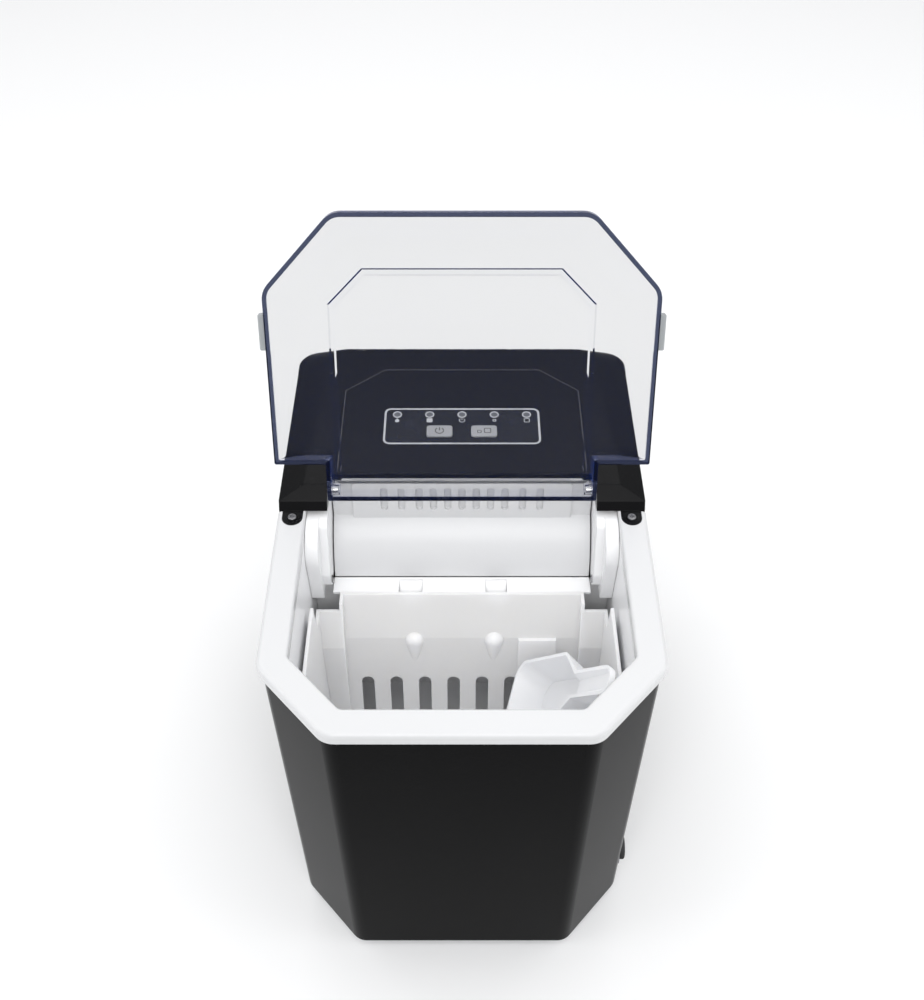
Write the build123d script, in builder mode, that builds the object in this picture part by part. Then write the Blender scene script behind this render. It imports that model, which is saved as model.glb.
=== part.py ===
from build123d import *
import math
import os

os.makedirs("parts", exist_ok=True)

# Countertop bullet-ice maker. Millimetres, +Z up, +X to the right of someone facing the front,
# +Y towards the back. The origin is on the ground, midway between the sides and between front and back.

# ---------------------------------------------------------------- driving dimensions
width = 224.0                  # across the white collar
depth = 302.0                  # collar front to the rear of the black cover
rim = 280.0                    # top plane of the collar, above the ground
front = -depth / 2             # y of the collar's front edge
back = depth / 2               # y of the rearmost point
side = width / 2

corner_x = 40.0                # cut-off front corners: size across and along
corner_y = 43.5
corner_round = 13.0

collar_band = 7.5              # height of the collar's outer band
collar_rim = 17.0              # width of the collar's flat rim
shell_inset = 2.5              # the body stands back from the collar by this much
shell_wall = 2.0
shell_split = front + 270.0    # seam between the wrap-round shell and the rear panel
foot_height = 8.0
base_top = 11.0

cover_half = 111.4             # half-width of the black control cover
cover_top = rim + 11.2
plateau_rise = 1.0             # raised middle panel of the cover
cover_wall = 2.5
arm_inner = 82.0               # inner side of the two arms that hold the lid
arm_front = front + 157.0
housing_front = front + 177.2  # front edge of the cover between the arms

hinge_y = front + 168.3
hinge_z = rim + 6.9
hinge_pin_radius = 2.5
pin_inner = 75.5               # the two hinge pins run from here to here on each side
pin_end = 94.5
lid_open_angle = 111.5
lid_wall = 2.5
lid_flange = 5.0               # height of the lid's upright edge
lid_plate = 11.0               # height of the lid's flat top above the collar
lid_bevel = 16.0               # how far the sloping border runs in from the edge
pocket_rise = 1.4              # raised middle of the lid

running_gap = 0.06             # radial clearance of shafts that turn in holes

tank_wall = 2.5
tank_half = side - collar_rim  # inner half-width of the tank
tank_floor = rim - 172.5
tank_rear = front + 236.0
chamber_floor = rim - 112.0    # the rear of the tank is shallower, over the compressor
chamber_front = front + 192.0

ledge_front = front + 138.6
ledge_rear = front + 150.8
ledge_top = rim - 56.0

shovel_pivot = (front + 182.0, rim - 9.0)     # y, z
tray_pivot = (front + 190.0, rim - 40.0)
tray_radius = 38.0

basket_wall = 2.0
basket_inset = 19.0
basket_rim = rim - 38.0
basket_bottom = rim - 165.0

button_size = (16.5, 10.0)
button_x = {"power": -14.3, "select": 14.0}
button_y = front + 214.5
label_center = (0.0, front + 219.85)
label_size = (100.0, 33.6)
led_x = [-41.6, -20.8, 0.0, 20.8, 41.6]
led_y = front + 230.5


# ---------------------------------------------------------------- shared outlines and helpers
def casing_points(inset, rear_y):
    """Corners of the casing's plan, moved in from the collar's edge, closed off at rear_y."""
    turn_front = math.atan2(corner_y, corner_x)
    turn_side = math.pi / 2 - turn_front
    half = side - inset
    nose = front + inset
    nose_half = side - corner_x - inset * math.tan(turn_front / 2)
    shoulder = front + corner_y + inset * math.tan(turn_side / 2)
    return [
        (-half, rear_y),
        (-half, shoulder),
        (-nose_half, nose),
        (nose_half, nose),
        (half, shoulder),
        (half, rear_y),
    ]


def casing_outline(inset, rear_y, rear_round=0.0):
    """Draws the casing's plan in the active sketch, with rounded corners."""
    soft = max(corner_round - inset / 2, 3.0)
    with BuildLine() as plan:
        FilletPolyline(
            *casing_points(inset, rear_y),
            radius=[rear_round, soft, soft, soft, soft, rear_round],
            close=True,
        )
    make_face(plan.edges())


def finish_part(piece, name):
    """Labels a piece and writes it to its own STEP file."""
    piece.part.label = name
    export_step(piece.part, f"parts/{name}.step")


def round_bar(path_points, bends, radius, name):
    """A tube or bar of round section along straight runs joined by arcs."""
    start = Vector(*path_points[0])
    heading = Vector(*path_points[1]) - start
    with BuildPart() as bar:
        with BuildLine() as path:
            FilletPolyline(*path_points, radius=bends)
        with BuildSketch(Plane(origin=start, z_dir=heading)):
            Circle(radius)
        sweep(path=path.wire())
    finish_part(bar, name)


# ---------------------------------------------------------------- base and feet
feet_centre = (0, 12.0, 0)
feet_spacing = (176.0, 212.0)
with BuildPart() as feet:
    with Locations(feet_centre):
        with GridLocations(*feet_spacing, 2, 2):
            Cylinder(10.0, foot_height, align=(Align.CENTER, Align.CENTER, Align.MIN))
    chamfer(feet.faces().group_by(Axis.Z)[0].edges(), 1.5)
finish_part(feet, "feet")

compressor_at = (22.0, front + 245.0)
mount_spread = 72.0
bolt_radius = 2.0
with BuildPart() as base_plate:
    with BuildSketch(Plane.XY.offset(foot_height)):
        casing_outline(4.8, front + 297.0, 11.0)
        with Locations(compressor_at):
            with GridLocations(mount_spread, mount_spread, 2, 2):
                Circle(bolt_radius, mode=Mode.SUBTRACT)
    extrude(amount=base_top - foot_height)
finish_part(base_plate, "base_plate")

# ---------------------------------------------------------------- outer shell and rear panel
shell_bottom = foot_height + 2.0
shell_top = rim - collar_band
vent_slot = (74.0, 3.4)
vent_pitch = 7.5
drain_at = (front + 62.0, 30.0)      # y, z of the drain outlet on the right side
drain_hole = 9.5
with BuildPart() as body_shell:
    with BuildSketch(Plane.XY.offset(shell_bottom)):
        casing_outline(shell_inset, front + 299.5, 14.0)
        casing_outline(shell_inset, front + 299.5, 14.0)
        offset(amount=-shell_wall, mode=Mode.SUBTRACT)
    extrude(amount=shell_top - shell_bottom)
    with Locations((0, shell_split, 0)):
        Box(2 * width, depth, 2 * rim, align=(Align.CENTER, Align.MIN, Align.MIN), mode=Mode.SUBTRACT)
    with BuildSketch(Plane.YZ.offset(-side)):
        with Locations((front + 200.0, 100.0)):
            with GridLocations(0, vent_pitch, 1, 12):
                SlotOverall(*vent_slot)
    extrude(amount=width, mode=Mode.SUBTRACT)
    with BuildSketch(Plane.YZ.offset(-side)):
        with Locations((front + 102.0, 56.0)):
            with GridLocations(0, vent_pitch, 1, 10):
                SlotOverall(*vent_slot)
    extrude(amount=10.0, mode=Mode.SUBTRACT)
    with BuildSketch(Plane.YZ.offset(side - 10.0)):
        with Locations(drain_at):
            Circle(drain_hole)
    extrude(amount=10.0, mode=Mode.SUBTRACT)
finish_part(body_shell, "body_shell")

panel_face = front + 299.5
inlet_at = (-74.0, 34.0)
inlet_hole = 7.0
screw_hole = 1.6
rear_screw_at = [(x, z) for x in (-92.0, 92.0) for z in (22.0, 142.0, 262.0)]
rear_slot = (120.0, 4.0)
with BuildPart() as rear_panel:
    with BuildSketch(Plane.XY.offset(shell_bottom)):
        casing_outline(shell_inset, panel_face, 14.0)
        casing_outline(shell_inset, panel_face, 14.0)
        offset(amount=-shell_wall, mode=Mode.SUBTRACT)
    extrude(amount=shell_top - shell_bottom)
    with Locations((0, shell_split + 0.4, 0)):
        Box(2 * width, depth, 2 * rim, align=(Align.CENTER, Align.MAX, Align.MIN), mode=Mode.SUBTRACT)
    with BuildSketch(Plane.XZ.offset(-panel_face)):
        with Locations((0, 200.0)):
            with GridLocations(0, 9.0, 1, 11):
                SlotOverall(*rear_slot)
        with Locations((10.0, 84.0)):
            with GridLocations(0, 9.0, 1, 9):
                SlotOverall(*rear_slot)
        with Locations(inlet_at):
            Circle(inlet_hole)
        with Locations(*rear_screw_at):
            Circle(screw_hole)
    extrude(amount=shell_wall + 2.0, mode=Mode.SUBTRACT)
finish_part(rear_panel, "rear_panel")

with BuildPart() as cord_inlet:
    with BuildSketch(Plane.XZ.offset(-panel_face)):
        with Locations(inlet_at):
            Circle(inlet_hole)
    extrude(amount=5.0)
    with BuildSketch(Plane.XZ.offset(-panel_face)):
        with Locations(inlet_at):
            Circle(inlet_hole + 2.5)
    extrude(amount=-1.5)
    chamfer(cord_inlet.faces().sort_by(Axis.Y)[-1].outer_wire().edges(), 0.8)
    with BuildSketch(Plane.XZ.offset(-back)):
        with Locations(inlet_at):
            Circle(3.6)
    extrude(amount=12.0, mode=Mode.SUBTRACT)
finish_part(cord_inlet, "cord_inlet")


def pan_screw(head_radius, head_height, shank_radius, shank_length):
    """A cross-head screw with its head on +Z and the underside of the head at z = 0."""
    with BuildPart(mode=Mode.PRIVATE) as screw:
        Cylinder(head_radius, head_height, align=(Align.CENTER, Align.CENTER, Align.MIN))
        fillet(screw.faces().sort_by(Axis.Z)[-1].edges(), head_height * 0.45)
        with BuildSketch(Plane.XY.offset(head_height)):
            Rectangle(head_radius * 1.1, head_radius * 0.28)
            Rectangle(head_radius * 0.28, head_radius * 1.1)
        extrude(amount=-head_height * 0.6, mode=Mode.SUBTRACT)
        Cylinder(shank_radius, shank_length, align=(Align.CENTER, Align.CENTER, Align.MAX))
    return screw.part


rear_screw = pan_screw(3.4, 1.5, 1.5, 7.0)
with BuildPart() as rear_screws:
    for x, z in rear_screw_at:
        with Locations(Plane(origin=(x, panel_face, z), z_dir=(0, 1, 0))):
            add(rear_screw)
finish_part(rear_screws, "rear_screws")

# ---------------------------------------------------------------- white collar
tab_x = 102.7
tab_y = front + 151.5
tab_radius = 6.0
tab_depth = 1.5
tank_top = rim - 8.0
with BuildPart() as top_collar:
    with BuildSketch(Plane.XY.offset(rim - collar_band)):
        casing_outline(0.0, arm_front - 0.4)
    extrude(amount=collar_band)
    outer_top = top_collar.faces().sort_by(Axis.Z)[-1].outer_wire().edges()
    fillet(outer_top.filter_by(lambda edge: edge.center().Y < arm_front - 1.0), 2.6)
    with BuildSketch(Plane.XY.offset(rim - collar_band)):
        casing_outline(4.2, front + 297.0, 10.0)
        with Locations((0, front - 1.0)):
            Rectangle(2 * width, 100.0, align=(Align.CENTER, Align.MIN), mode=Mode.SUBTRACT)
    extrude(amount=collar_band)
    with BuildSketch(Plane.XY.offset(rim - collar_band)):
        casing_outline(collar_rim, tank_rear)
    extrude(amount=collar_band, mode=Mode.SUBTRACT)
    inner_top = top_collar.faces().filter_by(Plane.XY).sort_by(Axis.Z)[-1].inner_wires()[0].edges()
    fillet(inner_top.filter_by(lambda edge: edge.center().Y < tank_rear - 1.0), 1.6)
    with BuildSketch(Plane.XY.offset(rim)):
        for x in (-tab_x, tab_x):
            with Locations((x, tab_y)):
                Circle(tab_radius + 0.3)
            with Locations((x, tab_y)):
                Rectangle(2 * tab_radius + 0.6, arm_front - tab_y + 2.3, align=(Align.CENTER, Align.MIN))
    extrude(amount=-tab_depth, mode=Mode.SUBTRACT)
    with Locations((-tab_x, tab_y, rim), (tab_x, tab_y, rim)):
        Hole(1.3, depth=collar_band)
finish_part(top_collar, "top_collar")


# ---------------------------------------------------------------- black control cover
cover_round = 15.0             # rear corners of the cover's skirt
cover_step = 5.0               # height above the rim where the bevel to the top begins
cover_step_front = front + 160.4
cover_top_front = front + 168.9
cover_top_half = 96.5
cover_top_rear_half = 90.0
cover_top_round = 12.0


def cover_plan(inset, front_y, half, rear_half, rear_y, corner):
    """Draws the control cover's plan in the active sketch, narrower at the back by the given halves."""
    with BuildLine() as plan:
        FilletPolyline(
            (-half + inset, front_y + inset),
            (half - inset, front_y + inset),
            (rear_half - inset, rear_y - inset),
            (-rear_half + inset, rear_y - inset),
            radius=[0.8, 0.8, corner, corner],
            close=True,
        )
    make_face(plan.edges())


def cover_stack(inset, top_drop, bottom):
    """The cover's outer form as an upright skirt, a slight step at the arms and a bevel to the top."""
    step_level = rim + cover_step - top_drop * 0.4
    with BuildPart(mode=Mode.PRIVATE) as stack:
        with BuildSketch(Plane.XY.offset(bottom)):
            cover_plan(inset, arm_front, cover_half, cover_half, back, cover_round)
        extrude(amount=rim - bottom)
        with BuildSketch(Plane.XY.offset(rim)):
            cover_plan(inset, arm_front, cover_half, cover_half, back, cover_round)
        with BuildSketch(Plane.XY.offset(step_level)):
            cover_plan(inset, cover_step_front, cover_half, cover_half, back, cover_round)
        loft(ruled=True)
        with BuildSketch(Plane.XY.offset(step_level)):
            cover_plan(inset, cover_step_front, cover_half, cover_half, back, cover_round)
        with BuildSketch(Plane.XY.offset(cover_top - top_drop)):
            cover_plan(inset, cover_top_front, cover_top_half, cover_top_rear_half, back - 4.0, cover_top_round)
        loft(ruled=True)
    return stack.part


plateau_half = 77.8
plateau_points = [
    (-plateau_half, housing_front),
    (plateau_half, housing_front),
    (plateau_half, front + 254.4),
    (52.2, front + 275.7),
    (-52.2, front + 275.7),
    (-plateau_half, front + 254.4),
]
lip_bottom = rim + 6.6
label_recess = 0.5
plateau_top = cover_top + plateau_rise
deck_half = side - 4.2
deck_rear = front + 297.0
button_gap = 0.3
led_radius = 2.1
cover_outer = cover_stack(0.0, 0.0, rim - collar_band)
cover_inner = cover_stack(cover_wall, cover_wall, rim - collar_band - 1.0)
with BuildPart() as cover_cavity:
    add(cover_inner)
    with Locations((0, front, rim)):
        Box(2 * (arm_inner + cover_wall), 2 * (housing_front + 2.0 - front), 4 * rim, mode=Mode.SUBTRACT)

with BuildPart() as top_cover:
    add(cover_outer)
    with BuildSketch(Plane.XY.offset(cover_top)):
        with BuildLine():
            Polyline(*plateau_points, close=True)
        make_face()
    extrude(amount=plateau_rise, taper=40)
    add(cover_cavity.part, mode=Mode.SUBTRACT)
    with Locations((0, housing_front, rim)):
        Box(2 * arm_inner, depth, 4 * rim, align=(Align.CENTER, Align.MAX, Align.CENTER), mode=Mode.SUBTRACT)
    with Locations((0, housing_front - 1.0, lip_bottom)):
        Box(2 * arm_inner, 4.0, rim, align=(Align.CENTER, Align.MIN, Align.MAX), mode=Mode.SUBTRACT)
    with Locations((0, deck_rear + 1.0, rim)):
        Box(2 * deck_half + 0.8, 2 * depth, rim, align=(Align.CENTER, Align.MAX, Align.MAX), mode=Mode.SUBTRACT)
    for x in (-tab_x, tab_x):
        with BuildSketch(Plane.XY.offset(rim - tab_depth)):
            with Locations((x, tab_y)):
                Circle(tab_radius)
                Rectangle(2 * tab_radius, arm_front - tab_y + 2.0, align=(Align.CENTER, Align.MIN))
            with Locations((x, tab_y)):
                Circle(screw_hole, mode=Mode.SUBTRACT)
        extrude(amount=tab_depth)
    with BuildSketch(Plane.YZ):
        with Locations((hinge_y, hinge_z)):
            Circle(hinge_pin_radius)
    extrude(amount=pin_end, both=True, mode=Mode.SUBTRACT)
    with BuildSketch(Plane.XY.offset(plateau_top)):
        with Locations(label_center):
            RectangleRounded(*label_size, 4.5)
    extrude(amount=-label_recess, mode=Mode.SUBTRACT)
    with BuildSketch(Plane.XY.offset(plateau_top)):
        for x in button_x.values():
            with Locations((x, button_y)):
                RectangleRounded(button_size[0] + 2 * button_gap, button_size[1] + 2 * button_gap, 2.3)
        for x in led_x:
            with Locations((x, led_y)):
                Circle(led_radius)
    extrude(amount=-5.0, mode=Mode.SUBTRACT)
finish_part(top_cover, "top_cover")

cover_screw = pan_screw(2.6, 1.3, 1.3, 6.0)
with BuildPart() as cover_screws:
    with Locations((-tab_x, tab_y, rim), (tab_x, tab_y, rim)):
        add(cover_screw)
finish_part(cover_screws, "cover_screws")

with BuildPart() as lid_hinge_pins:
    with BuildSketch(Plane.YZ.offset(pin_inner)):
        with Locations((hinge_y, hinge_z)):
            Circle(hinge_pin_radius)
    extrude(amount=pin_end - pin_inner)
    mirror(about=Plane.YZ)
finish_part(lid_hinge_pins, "lid_hinge_pins")

# ---------------------------------------------------------------- control panel
label_top = plateau_top
with BuildPart() as control_label:
    with BuildSketch(Plane.XY.offset(label_top - label_recess)):
        with Locations(label_center):
            RectangleRounded(label_size[0] - 0.2, label_size[1] - 0.2, 4.4)
        for x in button_x.values():
            with Locations((x, button_y)):
                RectangleRounded(button_size[0] + 2 * button_gap, button_size[1] + 2 * button_gap, 2.3,
                                 mode=Mode.SUBTRACT)
        for x in led_x:
            with Locations((x, led_y)):
                Circle(led_radius, mode=Mode.SUBTRACT)
    extrude(amount=label_recess - 0.1)
finish_part(control_label, "control_label")

board_top = rim + 4.2
board_thickness = 1.6
switch_height = 1.8
button_proud = 1.0
button_travel = 0.6
button_foot = board_top + switch_height + button_travel
for name, x in button_x.items():
    with BuildPart() as button:
        with BuildSketch(Plane.XY.offset(label_top + button_proud)):
            with Locations((x, button_y)):
                RectangleRounded(*button_size, 2.0)
        extrude(amount=-4.2)
        fillet(button.faces().sort_by(Axis.Z)[-1].edges(), 0.5)
        with Locations((x, button_y, label_top - 3.0)):
            Cylinder(2.2, label_top - 3.0 - button_foot, align=(Align.CENTER, Align.CENTER, Align.MAX))
    finish_part(button, f"{name}_button")

with BuildPart() as led_lenses:
    for x in led_x:
        with BuildSketch(Plane.XY.offset(board_top + 3.0)):
            with Locations((x, led_y)):
                Circle(led_radius)
        extrude(amount=label_top + 0.2 - board_top - 3.0)
    chamfer(led_lenses.faces().group_by(Axis.Z)[-1].edges(), 0.4)
finish_part(led_lenses, "led_lenses")

with BuildPart() as display_board:
    with BuildSketch(Plane.XY.offset(board_top)):
        with Locations(label_center):
            Rectangle(104.0, 38.0)
    extrude(amount=-board_thickness)
    for x in button_x.values():
        with Locations((x, button_y, board_top)):
            Box(6.0, 6.0, switch_height, align=(Align.CENTER, Align.CENTER, Align.MIN))
    for x in led_x:
        with Locations((x, led_y, board_top)):
            Cylinder(1.5, 2.8, align=(Align.CENTER, Align.CENTER, Align.MIN))
finish_part(display_board, "display_board")


# ---------------------------------------------------------------- clear lid, modelled shut then swung open
def lid_points(inset, tongue_half, tongue_rear, wing_rear):
    """Corners of the lid's plan: the casing's front outline, two rear wings and a tongue between them."""
    outline = casing_points(inset, wing_rear)
    return outline + [
        (tongue_half, wing_rear),
        (tongue_half, tongue_rear),
        (-tongue_half, tongue_rear),
        (-tongue_half, wing_rear),
    ]


def lid_section(level, inset, tongue_half, tongue_rear, wing_rear, soft):
    """One level of the lid, a rounded outline on a plane at the given height."""
    with BuildSketch(Plane.XY.offset(level), mode=Mode.PRIVATE) as section:
        with BuildLine():
            FilletPolyline(
                *lid_points(inset, tongue_half, tongue_rear, wing_rear),
                radius=[1.2, soft, soft, soft, soft, 1.2, 1.2, 1.2, 1.2, 1.2],
                close=True,
            )
        make_face()
    return section.sketch


wing_rear = front + 148.6
lid_top = rim + lid_plate
bevel_slope = (lid_plate - lid_flange) / lid_bevel
bevel_drop = lid_wall * math.hypot(1.0, bevel_slope)
inner_flange = lid_flange - bevel_drop + lid_wall * bevel_slope
inner_bevel = lid_wall + (lid_plate - lid_wall - inner_flange) / bevel_slope
pocket_half = 77.0
pocket_front = front + 33.0
pocket_outline = [
    (-pocket_half, front + 166.0),
    (-pocket_half, front + 53.7),
    (-56.7, pocket_front),
    (56.7, pocket_front),
    (pocket_half, front + 53.7),
    (pocket_half, front + 166.0),
]
boss_radius = 4.2
with BuildPart() as lid:
    add(lid_section(rim, 0.0, 81.4, front + 172.6, wing_rear, corner_round))
    extrude(amount=lid_flange)
    add(lid_section(rim + lid_flange, 0.0, 81.4, front + 172.6, wing_rear, corner_round))
    add(lid_section(lid_top, lid_bevel, 80.2, front + 171.4, wing_rear, 4.0))
    loft(ruled=True)
    with BuildSketch(Plane.XY.offset(lid_top)):
        with BuildLine():
            Polyline(*pocket_outline, close=True)
        make_face()
    extrude(amount=pocket_rise, taper=35)
    add(lid_section(rim - 1.0, lid_wall, 78.9, front + 170.1, wing_rear - lid_wall, corner_round - lid_wall))
    extrude(amount=1.0 + inner_flange, mode=Mode.SUBTRACT)
    add(lid_section(rim + inner_flange, lid_wall, 78.9, front + 170.1, wing_rear - lid_wall, corner_round - lid_wall))
    add(lid_section(lid_top - lid_wall, inner_bevel, 77.7, front + 168.9, wing_rear - lid_wall, 3.0))
    loft(ruled=True, mode=Mode.SUBTRACT)
    with BuildSketch(Plane.XY.offset(lid_top - lid_wall)):
        with BuildLine():
            Polyline(*pocket_outline, close=True)
        make_face()
        offset(amount=-3.0)
    extrude(amount=pocket_rise, taper=35, mode=Mode.SUBTRACT)
    for x in (-arm_inner + 1.8, arm_inner - 7.8):
        with BuildSketch(Plane.YZ.offset(x)):
            with Locations((hinge_y, hinge_z)):
                Circle(boss_radius)
        extrude(amount=6.0)
    for x in (-arm_inner, arm_inner - 7.0):
        with BuildSketch(Plane.YZ.offset(x)):
            with Locations((hinge_y, hinge_z)):
                Circle(hinge_pin_radius + running_gap)
        extrude(amount=7.0, mode=Mode.SUBTRACT)
    swung = lid.part.rotate(Axis((0, hinge_y, hinge_z), (1, 0, 0)), -lid_open_angle)
    add(swung, mode=Mode.REPLACE)
finish_part(lid, "lid")

grip_length = 21.0
grip_y = front + 67.5
grip_reach = 3.5
with BuildPart() as lid_grips:
    with Locations((side, grip_y, rim + 0.8)):
        Box(grip_reach, grip_length, 4.0, align=(Align.MIN, Align.CENTER, Align.MIN))
    fillet(lid_grips.faces().sort_by(Axis.X)[-1].edges(), 1.2)
    mirror(about=Plane.YZ)
    swung = lid_grips.part.rotate(Axis((0, hinge_y, hinge_z), (1, 0, 0)), -lid_open_angle)
    add(swung, mode=Mode.REPLACE)
finish_part(lid_grips, "lid_grips")

# ---------------------------------------------------------------- tank and partition
tank_outer_inset = collar_rim - tank_wall
sensor_y = front + 143.0
sensor_z = rim - 48.0
sensor_radius = 2.6
sensor_seat = 4.0              # depth of each sensor in its cheek
sensor_proud = 0.6             # the dome that stays clear of the swinging shovel
sensor_round = 0.5
pivot_pin_radius = 2.0
pivot_hole_depth = 3.0
shaft_radius = 3.0
evaporator_tube_radius = 4.0
evaporator_tube_half = 40.0
evaporator_tube_z = rim - 16.0
spout_at = (78.0, front + 62.0)
spout_outer = 7.0
with BuildPart() as inner_tank:
    with BuildSketch(Plane.XY.offset(tank_top)):
        casing_outline(tank_outer_inset, tank_rear + tank_wall)
    extrude(amount=-(tank_top - tank_floor + tank_wall))
    with Locations((0, chamber_front + tank_wall, chamber_floor - tank_wall)):
        Box(width, depth, rim, align=(Align.CENTER, Align.MIN, Align.MAX), mode=Mode.SUBTRACT)
    with BuildSketch(Plane.XY.offset(tank_top)):
        casing_outline(collar_rim, tank_rear)
    extrude(amount=-(tank_top - chamber_floor), mode=Mode.SUBTRACT)
    with BuildSketch(Plane.XY.offset(chamber_floor)):
        casing_outline(collar_rim, chamber_front)
    extrude(amount=-(chamber_floor - tank_floor), mode=Mode.SUBTRACT)
    with BuildSketch(Plane.YZ.offset(-side)):
        with Locations(tray_pivot):
            Circle(shaft_radius + running_gap)
    extrude(amount=width / 2, mode=Mode.SUBTRACT)
    with BuildSketch(Plane.XZ.offset(-tank_rear - 4.0)):
        for x in (-evaporator_tube_half, evaporator_tube_half):
            with Locations((x, evaporator_tube_z)):
                Circle(evaporator_tube_radius + 0.2)
    extrude(amount=8.0, mode=Mode.SUBTRACT)
    with BuildSketch(Plane.XY.offset(tank_floor)):
        with Locations(spout_at):
            Circle(spout_outer)
    extrude(amount=-tank_wall, mode=Mode.SUBTRACT)
finish_part(inner_tank, "inner_tank")

ledge_half = 81.6
ledge_thickness = 2.0
notches = [(-32.6, 15.0), (21.7, 13.6)]
notch_depth = ledge_rear - ledge_front - ledge_thickness      # the wall behind stays whole
ledge_rise = 16.0
ramp_fall = 7.0                # the chutes in the notches fall by this much towards the basket
with BuildPart() as partition:
    with Locations((0, ledge_front, ledge_top)):
        Box(2 * ledge_half, ledge_rear - ledge_front, ledge_thickness,
            align=(Align.CENTER, Align.MIN, Align.MAX))
    with Locations((0, ledge_rear - ledge_thickness, ledge_top - ledge_thickness)):
        Box(2 * tank_half - 0.4, ledge_thickness, ledge_top - ledge_thickness - tank_floor,
            align=(Align.CENTER, Align.MIN, Align.MAX))
    for x, notch_width in notches:
        with Locations((x, ledge_front, ledge_top)):
            Box(notch_width, notch_depth, 2 * ledge_rise, align=(Align.CENTER, Align.MIN, Align.CENTER),
                mode=Mode.SUBTRACT)
    for x, notch_width in notches:
        with BuildSketch(Plane.YZ.offset(x - notch_width / 2)):
            with BuildLine():
                Polyline(
                    (ledge_rear - ledge_thickness, ledge_top - 0.8),
                    (ledge_front, ledge_top - ramp_fall),
                    (ledge_front, ledge_top - ramp_fall - ledge_thickness),
                    (ledge_rear - ledge_thickness, ledge_top - 0.8 - 2 * ledge_thickness),
                    close=True,
                )
            make_face()
        extrude(amount=notch_width)
    with BuildSketch(Plane.XZ.offset(-ledge_rear)):
        with Locations((0, tank_floor + 12.0)):
            with GridLocations(22.0, 0, 7, 1):
                SlotOverall(14.0, 5.0, rotation=90)
    extrude(amount=ledge_thickness, mode=Mode.SUBTRACT)
finish_part(partition, "partition")

# ---------------------------------------------------------------- cheek plates beside the ice chamber
cheek_top = rim - 4.0
cheek_outer = tank_half - 0.2
cheek_step = 87.0
pad_half = 82.0
cheek_foot = rim - 58.0
cheek_nose = front + 132.5
for name, sign in (("left", -1), ("right", 1)):
    with BuildPart() as cheek:
        with BuildSketch(Plane.YZ.offset(sign * cheek_step)):
            with BuildLine():
                Line((front + 156.0, cheek_top), (tank_rear - 0.5, cheek_top))
                Line((tank_rear - 0.5, cheek_top), (tank_rear - 0.5, cheek_foot))
                Line((tank_rear - 0.5, cheek_foot), (front + 135.5, cheek_foot))
                Line((front + 135.5, cheek_foot), (cheek_nose, rim - 24.0))
                TangentArc(
                    (cheek_nose, rim - 24.0),
                    (front + 156.0, cheek_top),
                    tangent=(cheek_nose - front - 135.5, rim - 24.0 - cheek_foot),
                )
            make_face()
        extrude(amount=sign * (cheek_outer - cheek_step))
        with BuildSketch(Plane.YZ.offset(sign * pad_half)):
            with BuildLine():
                FilletPolyline(
                    (front + 150.0, cheek_top),
                    (tank_rear - 0.5, cheek_top),
                    (tank_rear - 0.5, cheek_foot + 6.0),
                    (front + 152.0, cheek_foot + 6.0),
                    (front + 140.0, rim - 52.5),
                    (front + 138.6, rim - 40.0),
                    radius=[6.0, 0, 0, 2.0, 4.0, 6.0],
                    close=True,
                )
            make_face()
        extrude(amount=sign * (cheek_step - pad_half))
        with BuildSketch(Plane.YZ.offset(sign * (pad_half - 1.0))):
            with Locations(shovel_pivot):
                Circle(pivot_pin_radius + running_gap)
        extrude(amount=sign * (1.0 + pivot_hole_depth), mode=Mode.SUBTRACT)
        with BuildSketch(Plane.YZ.offset(sign * (pad_half - 1.0))):
            with Locations(tray_pivot):
                Circle(shaft_radius + running_gap)
        extrude(amount=sign * 20.0, mode=Mode.SUBTRACT)
        with BuildSketch(Plane.YZ.offset(sign * (pad_half - 1.0))):
            with Locations((sensor_y, sensor_z)):
                Circle(sensor_radius)
        extrude(amount=sign * (1.0 + sensor_seat), mode=Mode.SUBTRACT)
    finish_part(cheek, f"{name}_cheek")
    with BuildPart() as sensor:
        with BuildSketch(Plane.YZ.offset(sign * (pad_half + sensor_seat))):
            with Locations((sensor_y, sensor_z)):
                Circle(sensor_radius)
        extrude(amount=-sign * (sensor_seat + sensor_proud))
        fillet(sensor.faces().sort_by(Axis.X)[0 if sign > 0 else -1].edges(), sensor_round)
    finish_part(sensor, f"{name}_ice_sensor")

# ---------------------------------------------------------------- cover over the ice chamber
cover_plate_front = front + 189.0
with BuildPart() as chamber_cover:
    with Locations((0, cover_plate_front, cheek_top)):
        Box(2 * tank_half - 1.0, tank_rear - cover_plate_front - 0.5, 2.0, align=(Align.CENTER, Align.MIN, Align.MIN))
    with Locations((0, cover_plate_front, cheek_top)):
        Box(2 * pad_half - 8.0, 2.0, 11.0, align=(Align.CENTER, Align.MIN, Align.MIN))
    with Locations((-56.0, front + 209.0, cheek_top), (56.0, front + 209.0, cheek_top)):
        Cylinder(3.0, 16.0, align=(Align.CENTER, Align.CENTER, Align.MAX))
finish_part(chamber_cover, "chamber_cover")

# ---------------------------------------------------------------- evaporator with its nine fingers
finger_radius = 4.5
finger_length = 30.0
finger_pitch = 24.0
plate_bottom = rim - 28.0
plate_thickness = 8.0
finger_rows = [(front + 201.0, 5), (front + 216.0, 4)]
with BuildPart() as evaporator:
    with BuildSketch(Plane.XY.offset(plate_bottom)):
        with Locations((0, front + 209.0)):
            RectangleRounded(124.0, 28.0, 5.0)
    extrude(amount=plate_thickness)
    for row_y, count in finger_rows:
        with Locations((0, row_y, plate_bottom)):
            with GridLocations(finger_pitch, 0, count, 1):
                Cylinder(finger_radius, finger_length, align=(Align.CENTER, Align.CENTER, Align.MAX))
    fillet(evaporator.faces().group_by(Axis.Z)[0].edges(), 3.0)
finish_part(evaporator, "evaporator")

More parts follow.
